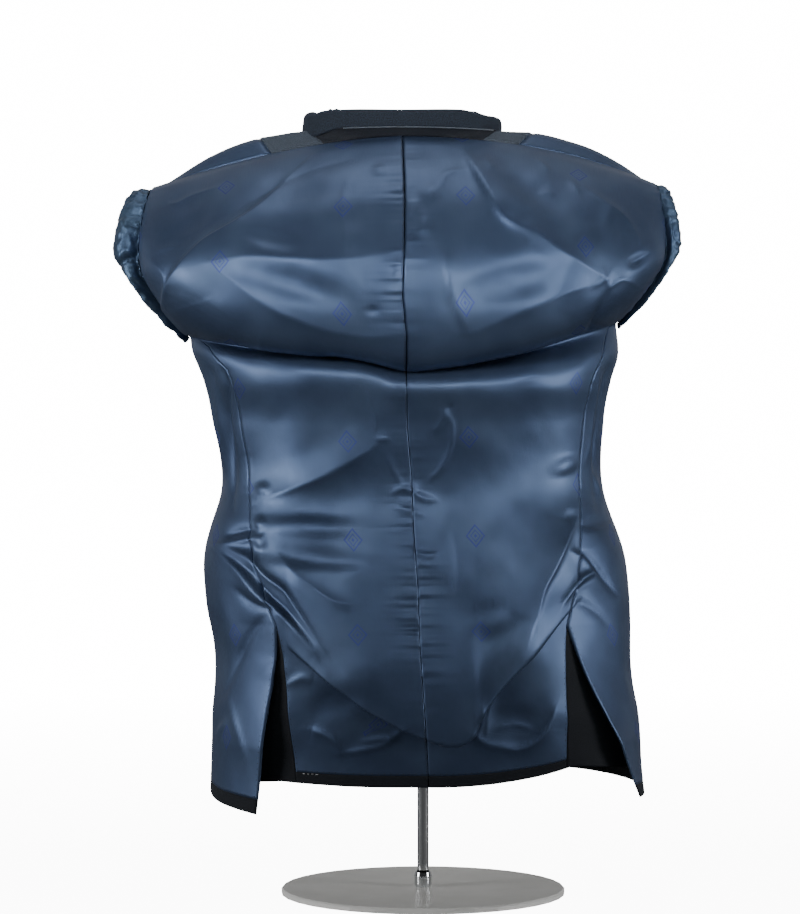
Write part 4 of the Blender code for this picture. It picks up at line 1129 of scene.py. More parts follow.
def woven_motif(tree, u, v):
    """1 on the lines of a small woven lozenge with a dot in it, half a step higher in every other column."""
    columns = math(tree, "DIVIDE", u, MOTIF_ACROSS)
    odd = math(tree, "FLOORED_MODULO", math(tree, "FLOOR", columns), 2.0)
    rows = plus(tree, math(tree, "DIVIDE", v, MOTIF_UP), times(tree, odd, 0.5))
    sizes = []
    for steps, spacing in ((columns, MOTIF_ACROSS), (rows, MOTIF_UP)):
        from_middle = math(tree, "SUBTRACT", math(tree, "FRACT", steps), 0.5)
        sizes.append(math(tree, "ABSOLUTE", times(tree, from_middle, spacing)))
    reach = math(tree, "DIVIDE", plus(tree, times(tree, sizes[0], MOTIF_SLANT), sizes[1]), MOTIF_SIZE)
    shown = 0.0
    for place, half_width in MOTIF_LINES:
        away = math(tree, "ABSOLUTE", math(tree, "SUBTRACT", reach, place))
        shown = math(tree, "MAXIMUM", math(tree, "LESS_THAN", away, half_width), shown)
    return shown


def make_satin(name, shade="#43526e", glow="#4d5d79", motif_shown=0.7):
    """Acetate lining satin, warp-faced and calendered: a deep navy with a broad steel-blue shine."""
    # Its floats mirror the light in the dye's own colour, as metal does, so it is shaded as a dark metal.
    made, tree, shader = start_finish(name, Metallic=0.72, IOR=1.48, Specular_IOR_Level=0.25, Anisotropic=0.3)
    place = add_node(tree, "ShaderNodeUVMap", uv_map="cloth").outputs["UV"]
    split = add_node(tree, "ShaderNodeSeparateXYZ", {0: place})
    u, v = split.outputs["X"], split.outputs["Y"]
    # Real warp floats are 0.1 mm wide, too fine to show here, so the slubs among them are drawn 0.9 mm wide.
    drawn_out = {"X": times(tree, u, 1100.0), "Y": times(tree, v, 45.0)}
    streaks = noise(tree, add_node(tree, "ShaderNodeCombineXYZ", drawn_out).outputs[0], 1.0, 2.0, "2D")
    cloud = noise(tree, place, 14.0, 2.0, "2D")
    # Handled lining cockles in soft dents of 8 to 15 mm, a few tenths of a millimetre deep.
    cockle = noise(tree, place, 95.0, 2.0, "2D")
    motif = woven_motif(tree, u, v)
    base = two_tone(tree, cloud, (0.35, shade), (0.7, glow))
    rough = plus(tree, times(tree, streaks, 0.10), 0.41)
    height = plus(tree, streaks, times(tree, motif, 1.2 * motif_shown))
    sockets = {
        "Base Color": mix(tree, "RGBA", times(tree, motif, motif_shown), base, linear(MOTIF_BLUE)),
        "Roughness": plus(tree, rough, times(tree, motif, 0.14)),
        "Normal": bump(tree, plus(tree, height, times(tree, cockle, COCKLE)), 0.22, 0.00012),
        "Tangent": add_node(tree, "ShaderNodeTangent", direction_type="UV_MAP", uv_map="cloth").outputs[0],
    }
    join(tree, shader, sockets)
    return made


def make_suiting(name, dark="#07090d", light="#181d27", rib=0.3):
    """Worsted wool suiting in a 2/2 twill: matt and dark, with a fine diagonal rib and mixed grey threads."""
    made, tree, shader = start_finish(
        name,
        Roughness=0.82,
        IOR=1.5,
        Specular_IOR_Level=0.3,
        Sheen_Weight=0.1,
        Sheen_Roughness=0.5,
        Sheen_Tint=linear("#9fb0c8"),
    )
    place = add_node(tree, "ShaderNodeUVMap", uv_map="cloth").outputs["UV"]
    turned = add_node(tree, "ShaderNodeMapping", {"Vector": place, "Rotation": (0, 0, TWILL_TURN)}).outputs[0]
    # A real twill line is 0.5 mm wide; it is drawn 1.3 mm wide so that it shows. A wave repeats in 2 pi / 20.
    wave = {"Vector": turned, "Scale": 2 * pi / 20 / 0.0013, "Distortion": 1.2, "Detail": 1.0}
    lines = add_node(tree, "ShaderNodeTexWave", wave).outputs["Fac"]
    threads = noise(tree, place, 700.0, 3.0, "2D")
    amount = plus(tree, times(tree, lines, rib), times(tree, threads, 1 - rib))
    base = two_tone(tree, amount, (0.25, dark), (0.8, light))
    join(tree, shader, {"Base Color": base, "Normal": bump(tree, amount, 0.35, 0.0003)})
    return made


def make_thread(name, colours, sheen=0.3, rough=0.55):
    """Spun polyester sewing thread, twisted: soft and slightly shiny, lighter on each ply."""
    values = {"Roughness": rough, "IOR": 1.5, "Sheen_Weight": sheen, "Specular_IOR_Level": 0.5 * sheen}
    made, tree, shader = start_finish(name, **values)
    plies = noise(tree, object_place(tree), 2200.0, 1.0)
    join(tree, shader, {"Base Color": two_tone(tree, plies, (0.3, colours[0]), (0.7, colours[1]))})
    return made


def make_jersey(name):
    """Cotton jersey stretched over padding: matt and off-white, with fine knit wales."""
    made, tree, shader = start_finish(name, Roughness=0.92, IOR=1.45, Sheen_Weight=0.2)
    place = object_place(tree)
    split = add_node(tree, "ShaderNodeSeparateXYZ", {0: place})
    # Wales of 1.2 mm, a little coarser than real jersey, and courses of 1.0 mm.
    wales = math(tree, "SINE", times(tree, split.outputs["X"], 2 * pi / 0.0012))
    courses = math(tree, "SINE", times(tree, split.outputs["Z"], 2 * pi / 0.0010))
    base = two_tone(tree, noise(tree, place, 9.0, 4.0), (0.3, "#d9d4c8"), (0.7, "#e9e6de"))
    join(tree, shader, {"Base Color": base, "Normal": bump(tree, times(tree, wales, courses), 0.3, 0.0002)})
    return made


def make_chrome(name):
    """Bright chrome plate on drawn steel tube: mirror-like, with faint polishing lines along it."""
    made, tree, shader = start_finish(name, Metallic=1.0)
    drawn_out = {"Vector": object_place(tree), "Scale": (900, 900, 30)}
    lines = noise(tree, add_node(tree, "ShaderNodeMapping", drawn_out).outputs[0], 1.0, 2.0)
    base = two_tone(tree, lines, (0.2, "#c9ccd0"), (0.8, "#e6e8ea"))
    join(tree, shader, {"Base Color": base, "Roughness": plus(tree, times(tree, lines, 0.10), 0.06)})
    return made


def make_powder_coat(name):
    """White powder coat baked on steel: satin, with the fine orange peel that powder leaves."""
    made, tree, shader = start_finish(name, Roughness=0.42, IOR=1.5)
    place = object_place(tree)
    base = two_tone(tree, noise(tree, place, 22.0, 4.0), (0.3, "#ecece9"), (0.7, "#f6f6f4"))
    peel = bump(tree, noise(tree, place, 650.0, 2.0), 0.15, 0.0002)
    join(tree, shader, {"Base Color": base, "Normal": peel})
    return made


# ---------------- the coat's panels


def away_from_form(points):
    """Rough outward directions at points of the coat's body."""
    return (points + np.array([0.02, 0.0, 0.0])) * np.array([1.0, 1.0, 0.0])


def steps_across(parts):
    return np.linspace(0, 1, parts + 1)[None, :]


def panel_keep(rows, shape, columns):
    """Which faces of a panel are kept: none past its side seam below the underarm."""
    keep = np.ones((len(rows) - 1, shape[1] - 1), bool)
    keep[: int(np.searchsorted(rows, UNDERARM_ROW - 1e-9)), columns:] = False
    return keep


def build_back(word, side, satin, suiting):
    columns = BACK_COLUMNS * COLUMN_PARTS
    rows = fine_rows(HEM_ROW, SEAM_ROW)
    seam = lining_share(side, rows)[:, None]
    outer = seam + (1 - seam) * steps_across(ARM_COLUMNS * COLUMN_PARTS)[:, 1:]
    points = dressed_back(side, np.concatenate([seam * steps_across(columns), outer], axis=1), rows[:, None])
    keep = panel_keep(rows, points.shape, columns)
    lining = lay_panel(f"back_lining_{word}", "satin", points, [satin, suiting], "satin_lining", keep)

    rows = fine_rows(0.0, HEM_ROW)
    points = dressed_back(side, lining_share(side, rows)[:, None] * steps_across(columns), rows[:, None])
    hem = lay_panel(f"hem_back_{word}", "strip", points, [suiting])

    rows = fine_rows(0.0, VENT_ROW)
    rows = rows[rows < VENT_ROW - VENT_FACING_END]
    start, end = lining_share(side, rows)[:, None], facing_share(side, rows)[:, None]
    points = dressed_back(side, between(start, end, steps_across(VENT_COLUMNS * COLUMN_PARTS)), rows[:, None])
    return lining, hem, lay_panel(f"vent_facing_{word}", "cloth", points, [suiting])


def side_folds(side, across, z):
    total = np.zeros_like(z)
    for place, top, bottom, width, height in SIDE_FOLDS[side]:
        away = np.abs(across - place) * SIDE_PANEL_WIDTH * 1000
        along = np.clip((z * 1000 - bottom) / (top - bottom), 0.0, 1.0)
        total += height / 1000 * np.exp(-((away / width) ** 2)) * np.sin(pi * along) ** 0.7
    return total


def side_points(side, rows):
    """The side panel's points, from its back seam round to its front seam, flared out beside the vent."""
    across = steps_across(ARM_COLUMNS * COLUMN_PARTS)
    share = between(seam_share(side, rows)[:, None], 1.0, across)
    flat_share, flat_row = share.ravel(), np.broadcast_to(rows[:, None], share.shape).ravel()
    points, normals, speed = surface(back_point, side, flat_share, flat_row)
    near = np.broadcast_to(1 - across, share.shape).ravel()
    open_part = np.minimum(1.0, np.maximum(0.0, 1 - flat_row / VENT_ROW) * 1.6)
    lift = back_relief(side, flat_share, flat_row, points, speed) + VENT_FLARE[side] * near**2 * open_part
    lift += side_folds(side, 1 - near, points[:, 2]) * fade(0.0, 0.2, 1 - near)
    points = points + normals * lift[:, None]
    points[:, 2] -= FLAP_DROP[side] * near * np.maximum(0.0, 1 - flat_row / HEM_SHAPE_ROW)
    share = between(1.0, read_table(FRONT_SEAM, rows)[:, None], across[:, 1:])
    front_part = dressed_front(side, share, rows[:, None])
    return np.concatenate([points.reshape(len(rows), -1, 3), front_part], axis=1)


def build_side(word, side, satin, suiting):
    points = side_points(side, fine_rows(HEM_ROW, UNDERARM_ROW))
    lining = lay_panel(f"side_lining_{word}", "satin", points, [satin, suiting], "satin_lining")
    points = side_points(side, fine_rows(0.0, HEM_ROW))
    return lining, lay_panel(f"hem_side_{word}", "strip", points, [suiting])


def build_front(word, side, satin, suiting, painted_light_facing):
    columns = FRONT_COLUMNS * FRONT_PARTS

    def front_points(rows):
        start = read_side(FACING_SHARE, rows, side)[:, None]
        seam = read_table(FRONT_SEAM, rows)[:, None]
        inner = between(start, seam, steps_across(columns))
        outer = between(seam, 1.0, steps_across(ARM_COLUMNS * FRONT_PARTS)[:, 1:])
        return dressed_front(side, np.concatenate([inner, outer], axis=1), rows[:, None])

    rows = fine_rows(HEM_ROW, SEAM_ROW, PLAIN_CLOTH)
    points = front_points(rows)
    keep = panel_keep(rows, points.shape, columns)
    lining = lay_panel(f"front_lining_{word}", "satin", points, [satin, suiting], "satin_lining", keep)
    points = front_points(fine_rows(0.0, HEM_ROW, PLAIN_CLOTH))[:, : columns + 1]
    hem = lay_panel(f"hem_front_{word}", "strip", points, [suiting])

    rows = fine_rows(0.0, SEAM_ROW, PLAIN_CLOTH)
    share = read_side(FACING_SHARE, rows, side)[:, None] * steps_across(FACING_PARTS)
    points = dressed_front(side, share, rows[:, None])
    # The facing takes the suiting painted lighter: painted light.
    facing = lay_panel(f"front_facing_{word}", "cloth", points, [painted_light_facing])

    rows = fine_rows(LAPEL_ROWS[0], LAPEL_ROWS[-1], PLAIN_CLOTH)
    share = between(LAPEL_START, read_table(LAPEL_WIDTH, rows)[:, None], steps_across(LAPEL_PARTS))
    row = np.broadcast_to(rows[:, None], share.shape)
    points, normals, _ = surface(front_point, side, share.ravel(), row.ravel())
    points = (points - normals * LAPEL_INSET).reshape(*share.shape, 3)
    return lining, hem, facing, lay_panel(f"lapel_{word}", "cloth", points, [suiting])


def neck_line(side, share):
    low = back_point(side, np.array([NECK_SHARE * share]), np.array([float(SEAM_ROW)]))[0]
    high = edge_line(side, NECK_END * share)
    return [between(low, high, t) for t in np.linspace(0, 1, NECK_LINES)]


def build_neck_facing(suiting):
    left = [neck_line(LEFT, step / NECK_STEPS) for step in range(NECK_STEPS, 0, -1)]
    right = [neck_line(RIGHT, step / NECK_STEPS) for step in range(NECK_STEPS + 1)]
    return lay_panel("back_neck_facing", "band", np.array(left + right).transpose(1, 0, 2), [suiting])


def bell(value, middle, width):
    return np.exp(-(((value - middle) / width) ** 2))


def collar_grid():
    """The collar's points, along its length and round its section."""
    section_places = np.linspace(0, len(COLLAR_SECTION) - 1, (len(COLLAR_SECTION) - 1) * COLLAR_PARTS + 1)
    section = smooth_through(np.array(COLLAR_SECTION), section_places)
    grid = []
    for place in np.linspace(-COLLAR_END, COLLAR_END, COLLAR_STEPS + 1):
        side = LEFT if place < 0 else RIGHT
        here = edge_line(side, abs(place))
        ahead = edge_line(side, abs(place) + COLLAR_AHEAD) - edge_line(side, abs(abs(place) - COLLAR_AHEAD))
        out = unit(np.array([ahead[1], -ahead[0], 0.0])) * side
        if abs(place) < COLLAR_AHEAD:
            out = np.array([0.0, -1.0, 0.0])
        drop = COLLAR_DROP[side] * np.clip(abs(place) - COLLAR_DROP_FROM, 0.0, 1.0)
        height = 1 - drop / COLLAR_ROLL
        corner = COLLAR_CORNER_DROP * fade(*COLLAR_CORNER, -place)
        bumps = sum(rise * bell(place, at, width) for at, width, rise in COLLAR_BUMPS)
        line = []
        for away, up in section:
            outer_foot = (1 - fade(0.001, 0.013, up)) if away > -0.002 else 0.0
            up = up - corner * outer_foot
            away = away + 0.25 * corner * outer_foot
            bumped = bumps * fade(0.006, COLLAR_ROLL, up)
            up = up * height if up > 0.001 else up
            line.append(here + out * (away - 0.3 * bumped) + np.array([0, 0, up + bumped]))
        grid.append(line)
    return np.array(grid)


def build_collar(suiting):
    points = collar_grid().transpose(1, 0, 2)
    collar = add_cloth("collar_cloth", points, cloth_metres(points), COLLAR_WALL, [suiting], None)
    ride_and_replace(collar, "dark_suiting", "collar")
    return collar


def pleat_lift(side, angle, out):
    """Height of the sleeve head's gathers at these angles, `out` of the way from the seam to the inside."""
    total = np.zeros(len(angle))
    turn = np.degrees(angle)
    for at, width, height, peak in PLEATS[side]:
        for middle in (at, 360 - at + 7):  # the hidden front half has its own, a little turned
            away = np.abs((turn - middle + 180) % 360 - 180)
            total += height / 1000 * np.exp(-((away / width) ** 1.6)) * bell(out, peak * 0.5, 0.28)
    return total


def fine_crumple(across, up, seed):
    """The small sharp crumples of cloth that was pushed in by hand, in metres."""
    draw = np.random.default_rng(seed)
    total = np.zeros_like(up)
    for length, height in CRUMPLES:
        for _ in range(4):
            turn, phase = draw.uniform(-0.5, 1.1), draw.uniform(0, 2 * pi)
            run = (across * np.sin(turn) + up * np.cos(turn)) * 2 * pi / length * draw.uniform(0.8, 1.25)
            total += height * (0.5 - np.abs(np.sin(run + phase))) * 0.7
    return total


def sleeve_head(side, angle, seam, outline):
    """The rings of the gathered head, from the armhole's seam out and round to the inside."""
    rise = np.sin(angle)
    reach = PUFF_REACH[side] * read_table(PUFF_SHARE, rise)
    rings = []
    for place in np.linspace(0, len(PUFF) - 1, (len(PUFF) - 1) * PUFF_PARTS + 1):
        outward, inset = smooth_through(np.array(PUFF), place)
        out = place / (len(PUFF) - 1)
        wave = 0.4 * pleat_lift(side, angle, out) * fade(0.0, 0.12, out)
        top = PUFF_TOP_INSET * np.maximum(0.0, rise) ** 2 * min(1.0, max(0.0, outward) / PUFF_FULL_OUT)
        ring = seam - outline * (inset + top)[:, None] + outline * wave[:, None]
        stand = np.maximum(outward * reach, PUFF[0][0]) if outward > 0 else np.full(len(angle), outward)
        ring[:, 0] += side * (stand + 0.7 * wave)
        crumple = 1.3 * crease_lift(PUFF_CREASES[side], stand, ring[:, 2])
        crumple += fine_crumple(stand, ring[:, 2], 80 + side)
        crumple *= fade(0.0, 0.06, out) * (1 - fade(0.6, 0.8, out))
        crumple *= fade(0.004, 0.014, reach * PUFF_FULL_OUT)
        ring += (0.8 * outline + np.array([0.35 * side, 0.0, 0.0])) * crumple[:, None]
        rings.append(ring)
    return rings


def build_sleeve(word, side, satin):
    angle = 2 * pi * np.arange(SLEEVE_SEGMENTS) / SLEEVE_SEGMENTS
    facing = np.where(np.cos(angle) >= 0, 1, -1)
    seam = armhole(side, np.arcsin(np.clip(np.sin(angle), -1, 1)), facing)
    middle = np.stack([seam[:, 0], np.zeros(len(angle)), np.full(len(angle), ARMHOLE[side][3])], axis=1)
    rings = sleeve_head(side, angle, seam, unit(seam - middle))
    run = []
    for x, y, z, turn, half_gap, half_height, tilt in SLEEVE_RUN[side]:
        heading = radians(turn)
        thickness = np.array([-side * sin(heading), cos(heading), 0.0]) * half_gap * np.cos(angle)[:, None]
        height = np.array([0.0, tilt, 1.0]) * half_height * np.sin(angle)[:, None]
        run.append(np.array([x, y, z]) + thickness + height)
    tail = np.array([rings[-1], *run])
    for place in np.linspace(0, len(tail) - 1, (len(tail) - 1) * RUN_PARTS + 1)[1:]:
        rings.append(smooth_through(tail.reshape(len(tail), -1), place).reshape(-1, 3))
    points = np.array(rings)
    around = np.linspace(0, SLEEVE_ROUND, SLEEVE_SEGMENTS)
    along = np.concatenate([[0], np.cumsum(np.linalg.norm(np.diff(points, axis=0), axis=-1).mean(axis=1))])
    metres = np.stack(np.broadcast_arrays(around[None, :], along[:, None]), axis=-1)

    def outward_at(places):
        return (places - middle[0]) * np.array([0.0, 1.0, 1.0]) + np.array([side * 0.05, 0.0, 0.0])

    sleeve = add_cloth(f"sleeve_{word}_satin", points, metres, SLEEVE_WALL, [satin], outward_at, closed=True)
    ride_and_replace(sleeve, "satin_lining", f"sleeve_{word}")
    return sleeve


# ---------------- sewing, piping and pockets


def add_bars(name, centres, up, thickness, look, slot, sides=6):
    """Closed round bars. `centres` is bars by rings by 3, `up` points out of the cloth at each ring."""
    bars, rings = centres.shape[:2]
    ahead = unit(np.gradient(centres, axis=1))
    up = unit(up - np.sum(up * ahead, axis=-1, keepdims=True) * ahead)
    aside = np.cross(ahead, up)
    turn = 2 * pi * np.arange(sides)[:, None] / sides
    around = np.cos(turn) * up[:, :, None] + np.sin(turn) * aside[:, :, None]
    thickness = np.broadcast_to(thickness, (bars, rings))
    vertices = centres[:, :, None] + thickness[..., None, None] * around
    index = np.arange(bars * rings * sides).reshape(bars, rings, sides)
    after = np.roll(index, -1, axis=2)
    walls = np.stack([index[:, :-1], after[:, :-1], after[:, 1:], index[:, 1:]], axis=-1).reshape(-1, 4)
    ends = np.concatenate([index[:, 0, ::-1], index[:, -1]])
    piece = add_piece(name, vertices.reshape(-1, 3).tolist(), walls.tolist() + ends.tolist(), [look])
    ride_and_replace(piece, slot)
    return piece


def sew(name, run, outward, kind, look, slot="satin_lining"):
    """A row of stitches along a run of places: short bowed bars of thread whose ends dip into the cloth."""
    stitch, gap, thread = kind
    along = np.concatenate([[0.0], np.cumsum(np.linalg.norm(np.diff(run, axis=0), axis=1))])
    middles = np.arange(0.5 * (stitch + gap), along[-1] - 0.5 * stitch, stitch + gap)
    share, swell, height = np.array(STITCH_RINGS).T
    at = middles[:, None] + stitch * share
    centres = np.stack([np.interp(at, along, run[:, k]) for k in range(3)], axis=-1)
    up = unit(np.stack([np.interp(at, along, outward[:, k]) for k in range(3)], axis=-1))
    centres = centres + up * (thread * height)[:, None]
    return add_bars(name, centres, up, thread * swell, look, slot)


def on_back(side, share, row):
    """Places on the dressed back with the directions out of it."""
    share, row = np.broadcast_arrays(share, row)
    normals = surface(back_point, side, share, row)[1]
    return dressed_back(side, share[:, None], row[:, None])[:, 0], normals


def out_of_grid(points):
    """The directions out of a grid of places, away from the form."""
    normals = unit(np.cross(np.gradient(points, axis=1), np.gradient(points, axis=0)))
    facing_out = np.sum(normals * away_from_form(points.reshape(-1, 3)).reshape(points.shape))
    return normals * np.sign(facing_out)


def sew_back(word, side, dark, shadow, white):
    made = []
    if side == LEFT:
        # A painted shadow in the seam's furrow: a thin near-black bar with no sheen, darker than the thread,
        # standing for the shade between the two halves.
        rows = np.linspace(SEAM_STOP, SEAM_ROW - SEAM_STOP, SEAM_PLACES)
        run, out = on_back(side, np.zeros(len(rows)), rows)
        run = (run - SEAM_SHADOW_SINK * out)[None]
        made.append(add_bars("centre_seam_painted_shadow", run, out[None], SEAM_SHADOW_THICK, shadow, "satin_lining"))
        speed = surface(back_point, side, np.zeros(len(rows)), rows)[2]
        run, out = on_back(side, SEAM_STITCH_IN / speed, rows)
        made.append(sew("centre_seam_stitches", run, out, SEAM_STITCH, dark))
    rows = np.linspace(HEM_ROW, VENT_ROW - 0.1, RUN_PLACES)
    edge, out = on_back(side, VENT_STITCH_SHARE * lining_share(side, rows), rows)
    made.append(sew(f"vent_{word}_back_stitches", edge, out, EDGE_STITCH, dark))
    rows = np.full(RUN_PLACES, HEM_ROW + HEM_STITCH_UP)
    run, out = on_back(side, np.linspace(*HEM_STITCH_SPAN, RUN_PLACES) * lining_share(side, rows), rows)
    made.append(sew(f"hem_{word}_back_stitches", run, out, HEM_STITCH, dark))
    if side == LEFT:  # a few basting stitches were left in white thread
        here = (run[:, 0] > BASTING[0]) & (run[:, 0] < BASTING[1])
        run, out = run[here] - [0, 0, BASTING_DROP], out[here]
        made.append(sew("hem_left_basting_stitches", run, out, BASTING_STITCH, white, "jersey"))
    return made


def sew_side(word, side, dark):
    points = side_points(side, fine_rows(HEM_ROW, VENT_ROW))
    out = out_of_grid(points)
    flap = sew(f"vent_{word}_flap_stitches", points[:, 1], out[:, 1], FLAP_STITCH, dark)
    points = side_points(side, HEM_ROW + HEM_STITCH_UP * np.arange(3))
    out = out_of_grid(points)
    return [flap, sew(f"hem_{word}_side_stitches", points[1, 1:-1], out[1, 1:-1], HEM_STITCH, dark)]


def sew_front(word, side, dark):
    rows = np.linspace(HEM_ROW, FACING_STITCH_END, FACING_PLACES)
    start = read_side(FACING_SHARE, rows, side)
    speed = surface(front_point, side, start, rows)[2]
    share = np.stack([start + metres / speed for metres in FACING_STITCH_IN], axis=1)
    points = dressed_front(side, share, rows[:, None])
    return sew(f"facing_{word}_stitches", points[:, 0], out_of_grid(points)[:, 0], FACING_STITCH, dark)


def build_pocket(word, side, name, row, first, last, satin, dark):
    """A jetted pocket: two rolled lips of satin that meet over its mouth, with a bar tack at each end."""
    share = np.linspace(first, last, POCKET_PLACES)
    middle = share[POCKET_PLACES // 2 - 1 : POCKET_PLACES // 2]
    low, high = (front_point(side, middle, np.array([row + step])) for step in (-0.05, 0.05))
    row_metres = np.linalg.norm(high - low) / 0.1
    across = np.linspace(0, 1, LIP_PLACES)
    rise = LIP_RISE * np.sqrt(np.maximum(0.0, np.sin(pi * between(0.06, 1.0, across)))) + LIP_STAND
    made = []
    for lip, way in (("lower", -1), ("upper", 1)):
        rows = row + way * (LIP_GAP + LIP_WIDTH * across) / row_metres
        points = dressed_front(side, share[None, :], rows[:, None], rise[:, None])
        metres = cloth_metres(points)
        lip_name = f"{name}_pocket_{word}_{lip}_lip"
        piece = add_cloth(lip_name, points, metres, POCKET_WALL, [satin], away_from_form)
        ride_and_replace(piece, "satin_lining")
        made.append(piece)
    rows = row + np.linspace(-1, 1, TACK_PLACES) * TACK_OVER * LIP_WIDTH / row_metres
    for end, place in (("inner", first), ("outer", last)):
        share = np.full(TACK_PLACES, place)
        run = dressed_front(side, share, rows, LIP_RISE)
        normals = surface(front_point, side, share, rows)[1]
        tack_name = f"{name}_pocket_{word}_{end}_tack"
        made.append(add_bars(tack_name, run[None], normals[None], TACK_THREAD, dark, "satin_lining"))
    return made


def build_piping(look):
    """The rolled edge of the under-collar felt along the foot of the collar: a thin bar painted a lighter
    grey than the felt, a painted highlight that shows as a light line.
    """
    places = np.linspace(*PIPING_RUN, PIPING_PLACES)
    run = np.array([edge_line(LEFT if place < 0 else RIGHT, abs(place)) for place in places])
    out = unit(away_from_form(run))
    run = run + out * PIPING_OUT - np.array([0.0, 0.0, PIPING_DOWN])
    return add_bars("collar_foot_edge_painted_highlight", run[None], out[None], PIPING_THICK, look, "dark_suiting", sides=8)


# ---------------- the form and its stand


def cover_form(look):
    """The form's jersey cover: the solid's own shape, merged so that it shades smoothly."""
    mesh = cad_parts["form_torso"].data.copy()
    mesh.name = "form_jersey_cover"
    cover = bpy.data.objects.new("form_jersey_cover", mesh)
    bpy.context.scene.collection.objects.link(cover)
    pick(cover)
    bpy.ops.object.mode_set(mode="EDIT")
    bpy.ops.mesh.select_all(action="SELECT")
    bpy.ops.mesh.remove_doubles(threshold=0.00002)
    bpy.ops.object.mode_set(mode="OBJECT")
    bpy.ops.object.shade_smooth_by_angle(angle=SHARP_ANGLE)
    mesh.materials.clear()
    mesh.materials.append(look)
    ride_and_replace(cover, "jersey", "form_torso")
    return cover


def add_turned(name, look, slot, bevel, smooth=False, **shape):
    """A short turned piece with its edges bevelled."""
    deselect_all()
    bpy.ops.mesh.primitive_cylinder_add(**shape)
    piece = bpy.context.object
    piece.name = name
    bpy.ops.object.transform_apply(location=True, rotation=True, scale=True)
    finish_with(piece, "BEVEL", **bevel)
    if smooth:
        bpy.ops.object.shade_smooth_by_angle(angle=SHARP_ANGLE)
    piece.data.materials.append(look)
    ride_and_replace(piece, slot)


def cap_neck(cover, look):
    """A turned cap on the form's neck, bevelled at its edge."""
    places = np.array([vertex.co for vertex in cover.data.vertices])
    top = places[:, 2].max()
    ring = places[places[:, 2] > top - 0.001]
    middle = (ring.min(axis=0) + ring.max(axis=0)) / 2
    radius = (ring.max(axis=0) - ring.min(axis=0))[0] / 2
    shape = {"vertices": 64, "radius": radius * 1.03, "depth": 0.004}
    bevel = {"width": 0.0014, "segments": 4, "limit_method": "ANGLE"}
    place = (middle[0], middle[1], top + 0.0022)
    add_turned("form_neck_cap", look, "white_powder_coat", bevel, True, location=place, **shape)


def add_set_screw(look):
    """The small hexagon-headed screw that clamps the pole in its socket."""
    low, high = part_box("stand_socket")
    place = ((low[0] + high[0]) / 2, low[1] - 0.0010, (low[2] + high[2]) / 2)
    shape = {"vertices": 6, "radius": 0.0032, "depth": 0.006, "rotation": (pi / 2, 0, 0)}
    add_turned("socket_set_screw", look, "chrome", {"width": 0.0005, "segments": 2}, location=place, **shape)


# ---------------- camera, floor and light


def build_camera():
    bpy.ops.object.camera_add(location=CAMERA_PLACE, rotation=(pi / 2, 0, 0))
    camera = bpy.context.object
    camera.data.sensor_width = SENSOR
    camera.data.lens = SENSOR * CAMERA_DISTANCE / (PHOTO_HEIGHT * PIXEL_AT_POLE)
    bpy.context.scene.camera = camera


def camera_sees(tree):
    return add_node(tree, "ShaderNodeLightPath").outputs["Is Camera Ray"]


def over_range(tree, value, span, low, high):
    """`low` to `high` as a value runs over a span."""
    inputs = {"Value": value, "From Min": span[0], "From Max": span[1], "To Min": low, "To Max": high}
    return add_node(tree, "ShaderNodeMapRange", inputs).outputs["Result"]


def build_floor():
    bpy.ops.mesh.primitive_plane_add(size=40)
    floor_sheet = bpy.context.object
    floor_sheet.name = "studio_floor"
    made, tree, shader = start_finish("white_studio_paper", Roughness=0.9, Emission_Color=linear("#ffffff"))
    # The paper is lit from behind and below as well, so it looks white all over, more so further back.
    split = add_node(tree, "ShaderNodeSeparateXYZ", {0: object_place(tree)})
    glow = over_range(tree, split.outputs["Y"], (0.3, 2.5), PAPER_NEAR, AIR_SEEN)
    seen = camera_sees(tree)
    sockets = {
        "Base Color": mix(tree, "RGBA", seen, linear("#5a5a5a"), linear("#fbfbfb")),
        "Emission Strength": mix(tree, "FLOAT", seen, PAPER_LIGHT, glow),
    }
    join(tree, shader, sockets)
    floor_sheet.data.materials.append(made)


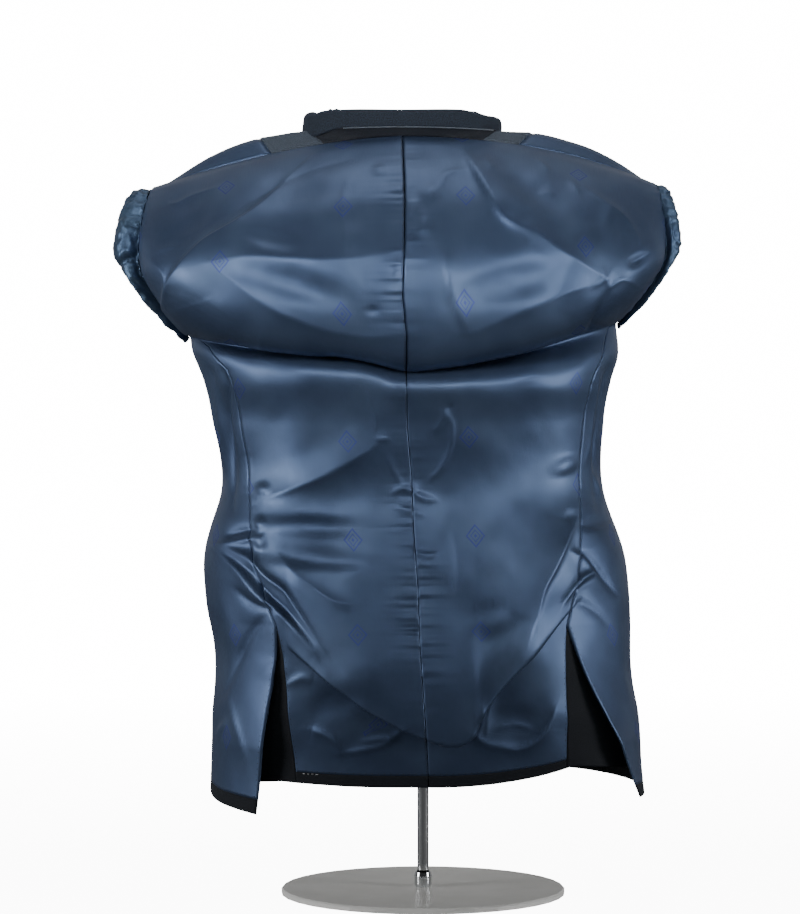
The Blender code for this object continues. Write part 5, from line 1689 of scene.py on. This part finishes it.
def build_light():
    world = bpy.data.worlds.new("studio_air")
    bpy.context.scene.world = world
    world.use_nodes = True
    tree = world.node_tree
    air = tree.nodes["Background"]
    air.inputs["Color"].default_value = linear("#ffffff")
    # A white wall stands behind the coat and lights its sides; the room on this side of it is dark. The
    # wall is far brighter to look at than the light that it gives the coat.
    direction = add_node(tree, "ShaderNodeTexCoord").outputs["Generated"]
    split = add_node(tree, "ShaderNodeSeparateXYZ", {0: direction})
    wall = over_range(tree, split.outputs["Y"], (0.15, 0.8), AIR_FRONT, AIR_BEHIND)
    join(tree, air, {"Strength": mix(tree, "FLOAT", camera_sees(tree), wall, AIR_SEEN)})
    for name, place, aim, size, watts, spread in SOFTBOXES:
        turn = (Vector(aim) - Vector(place)).to_track_quat("-Z", "Y").to_euler()
        bpy.ops.object.light_add(type="AREA", location=place, rotation=turn)
        light = bpy.context.object
        light.name = name
        light.data.shape = "RECTANGLE"
        light.data.size, light.data.size_y = size
        light.data.energy = watts
        light.data.spread = radians(spread)


# ---------------- the whole


deselect_all()
build_camera()
build_floor()
build_light()

SATIN = make_satin("navy_acetate_satin")
SLEEVE_SATIN = make_satin("navy_sleeve_satin", "#445670", "#4c5f75", 0.0)
SUITING = make_suiting("charcoal_wool_twill")
# The same charcoal twill painted lighter for the front facings: painted light on cloth that faces up to the
# lamps.
PAINTED_LIGHT_FACING = make_suiting("charcoal_wool_twill_painted_lighter", "#1b212a", "#47515d")
COLLAR_FELT = make_suiting("navy_collar_melton", "#0a0f16", "#202b3a", 0.16)
DARK_THREAD = make_thread("navy_sewing_thread", ("#0c1119", "#1b2432"))
# Near-black with no sheen: a painted shadow for the bar laid in the centre seam's furrow.
SEAM_PAINTED_SHADOW = make_thread("navy_seam_painted_shadow", ("#020305", "#06080c"), sheen=0.0, rough=0.9)
WHITE_THREAD = make_thread("white_basting_thread", ("#b9bcc0", "#dfe1e3"))
# Lighter grey than the collar felt: a painted highlight on the rolled edge at the collar's foot.
COLLAR_FOOT_HIGHLIGHT = make_thread("grey_collar_foot_painted_highlight", ("#39434f", "#56616d"))
COAT_OF_POWDER = make_powder_coat("white_powder_coat")

for word, side in SIDES.items():
    back, back_hem, vent_facing = build_back(word, side, SATIN, SUITING)
    side_panel, side_hem = build_side(word, side, SATIN, SUITING)
    front, front_hem, facing, lapel = build_front(word, side, SATIN, SUITING, PAINTED_LIGHT_FACING)
    sleeve = build_sleeve(word, side, SLEEVE_SATIN)
    back_sewing = sew_back(word, side, DARK_THREAD, SEAM_PAINTED_SHADOW, WHITE_THREAD)
    side_sewing = sew_side(word, side, DARK_THREAD)
    facing_sewing = sew_front(word, side, DARK_THREAD)
    pockets = []
    for name, row, first, last in POCKETS:
        pockets += build_pocket(word, side, name, row, first, last, SATIN, DARK_THREAD)
neck_facing = build_neck_facing(SUITING)
collar = build_collar(COLLAR_FELT)
piping = build_piping(COLLAR_FOOT_HIGHLIGHT)

cover = cover_form(make_jersey("cotton_jersey"))
cap_neck(cover, COAT_OF_POWDER)
add_set_screw(make_chrome("screw_chrome"))

for node, look in (
    ("stand_base", COAT_OF_POWDER),
    ("stand_pole", make_chrome("pole_chrome")),
    ("stand_socket", make_chrome("socket_chrome")),
):
    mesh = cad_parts[node].data
    mesh.materials.clear()
    mesh.materials.append(look)
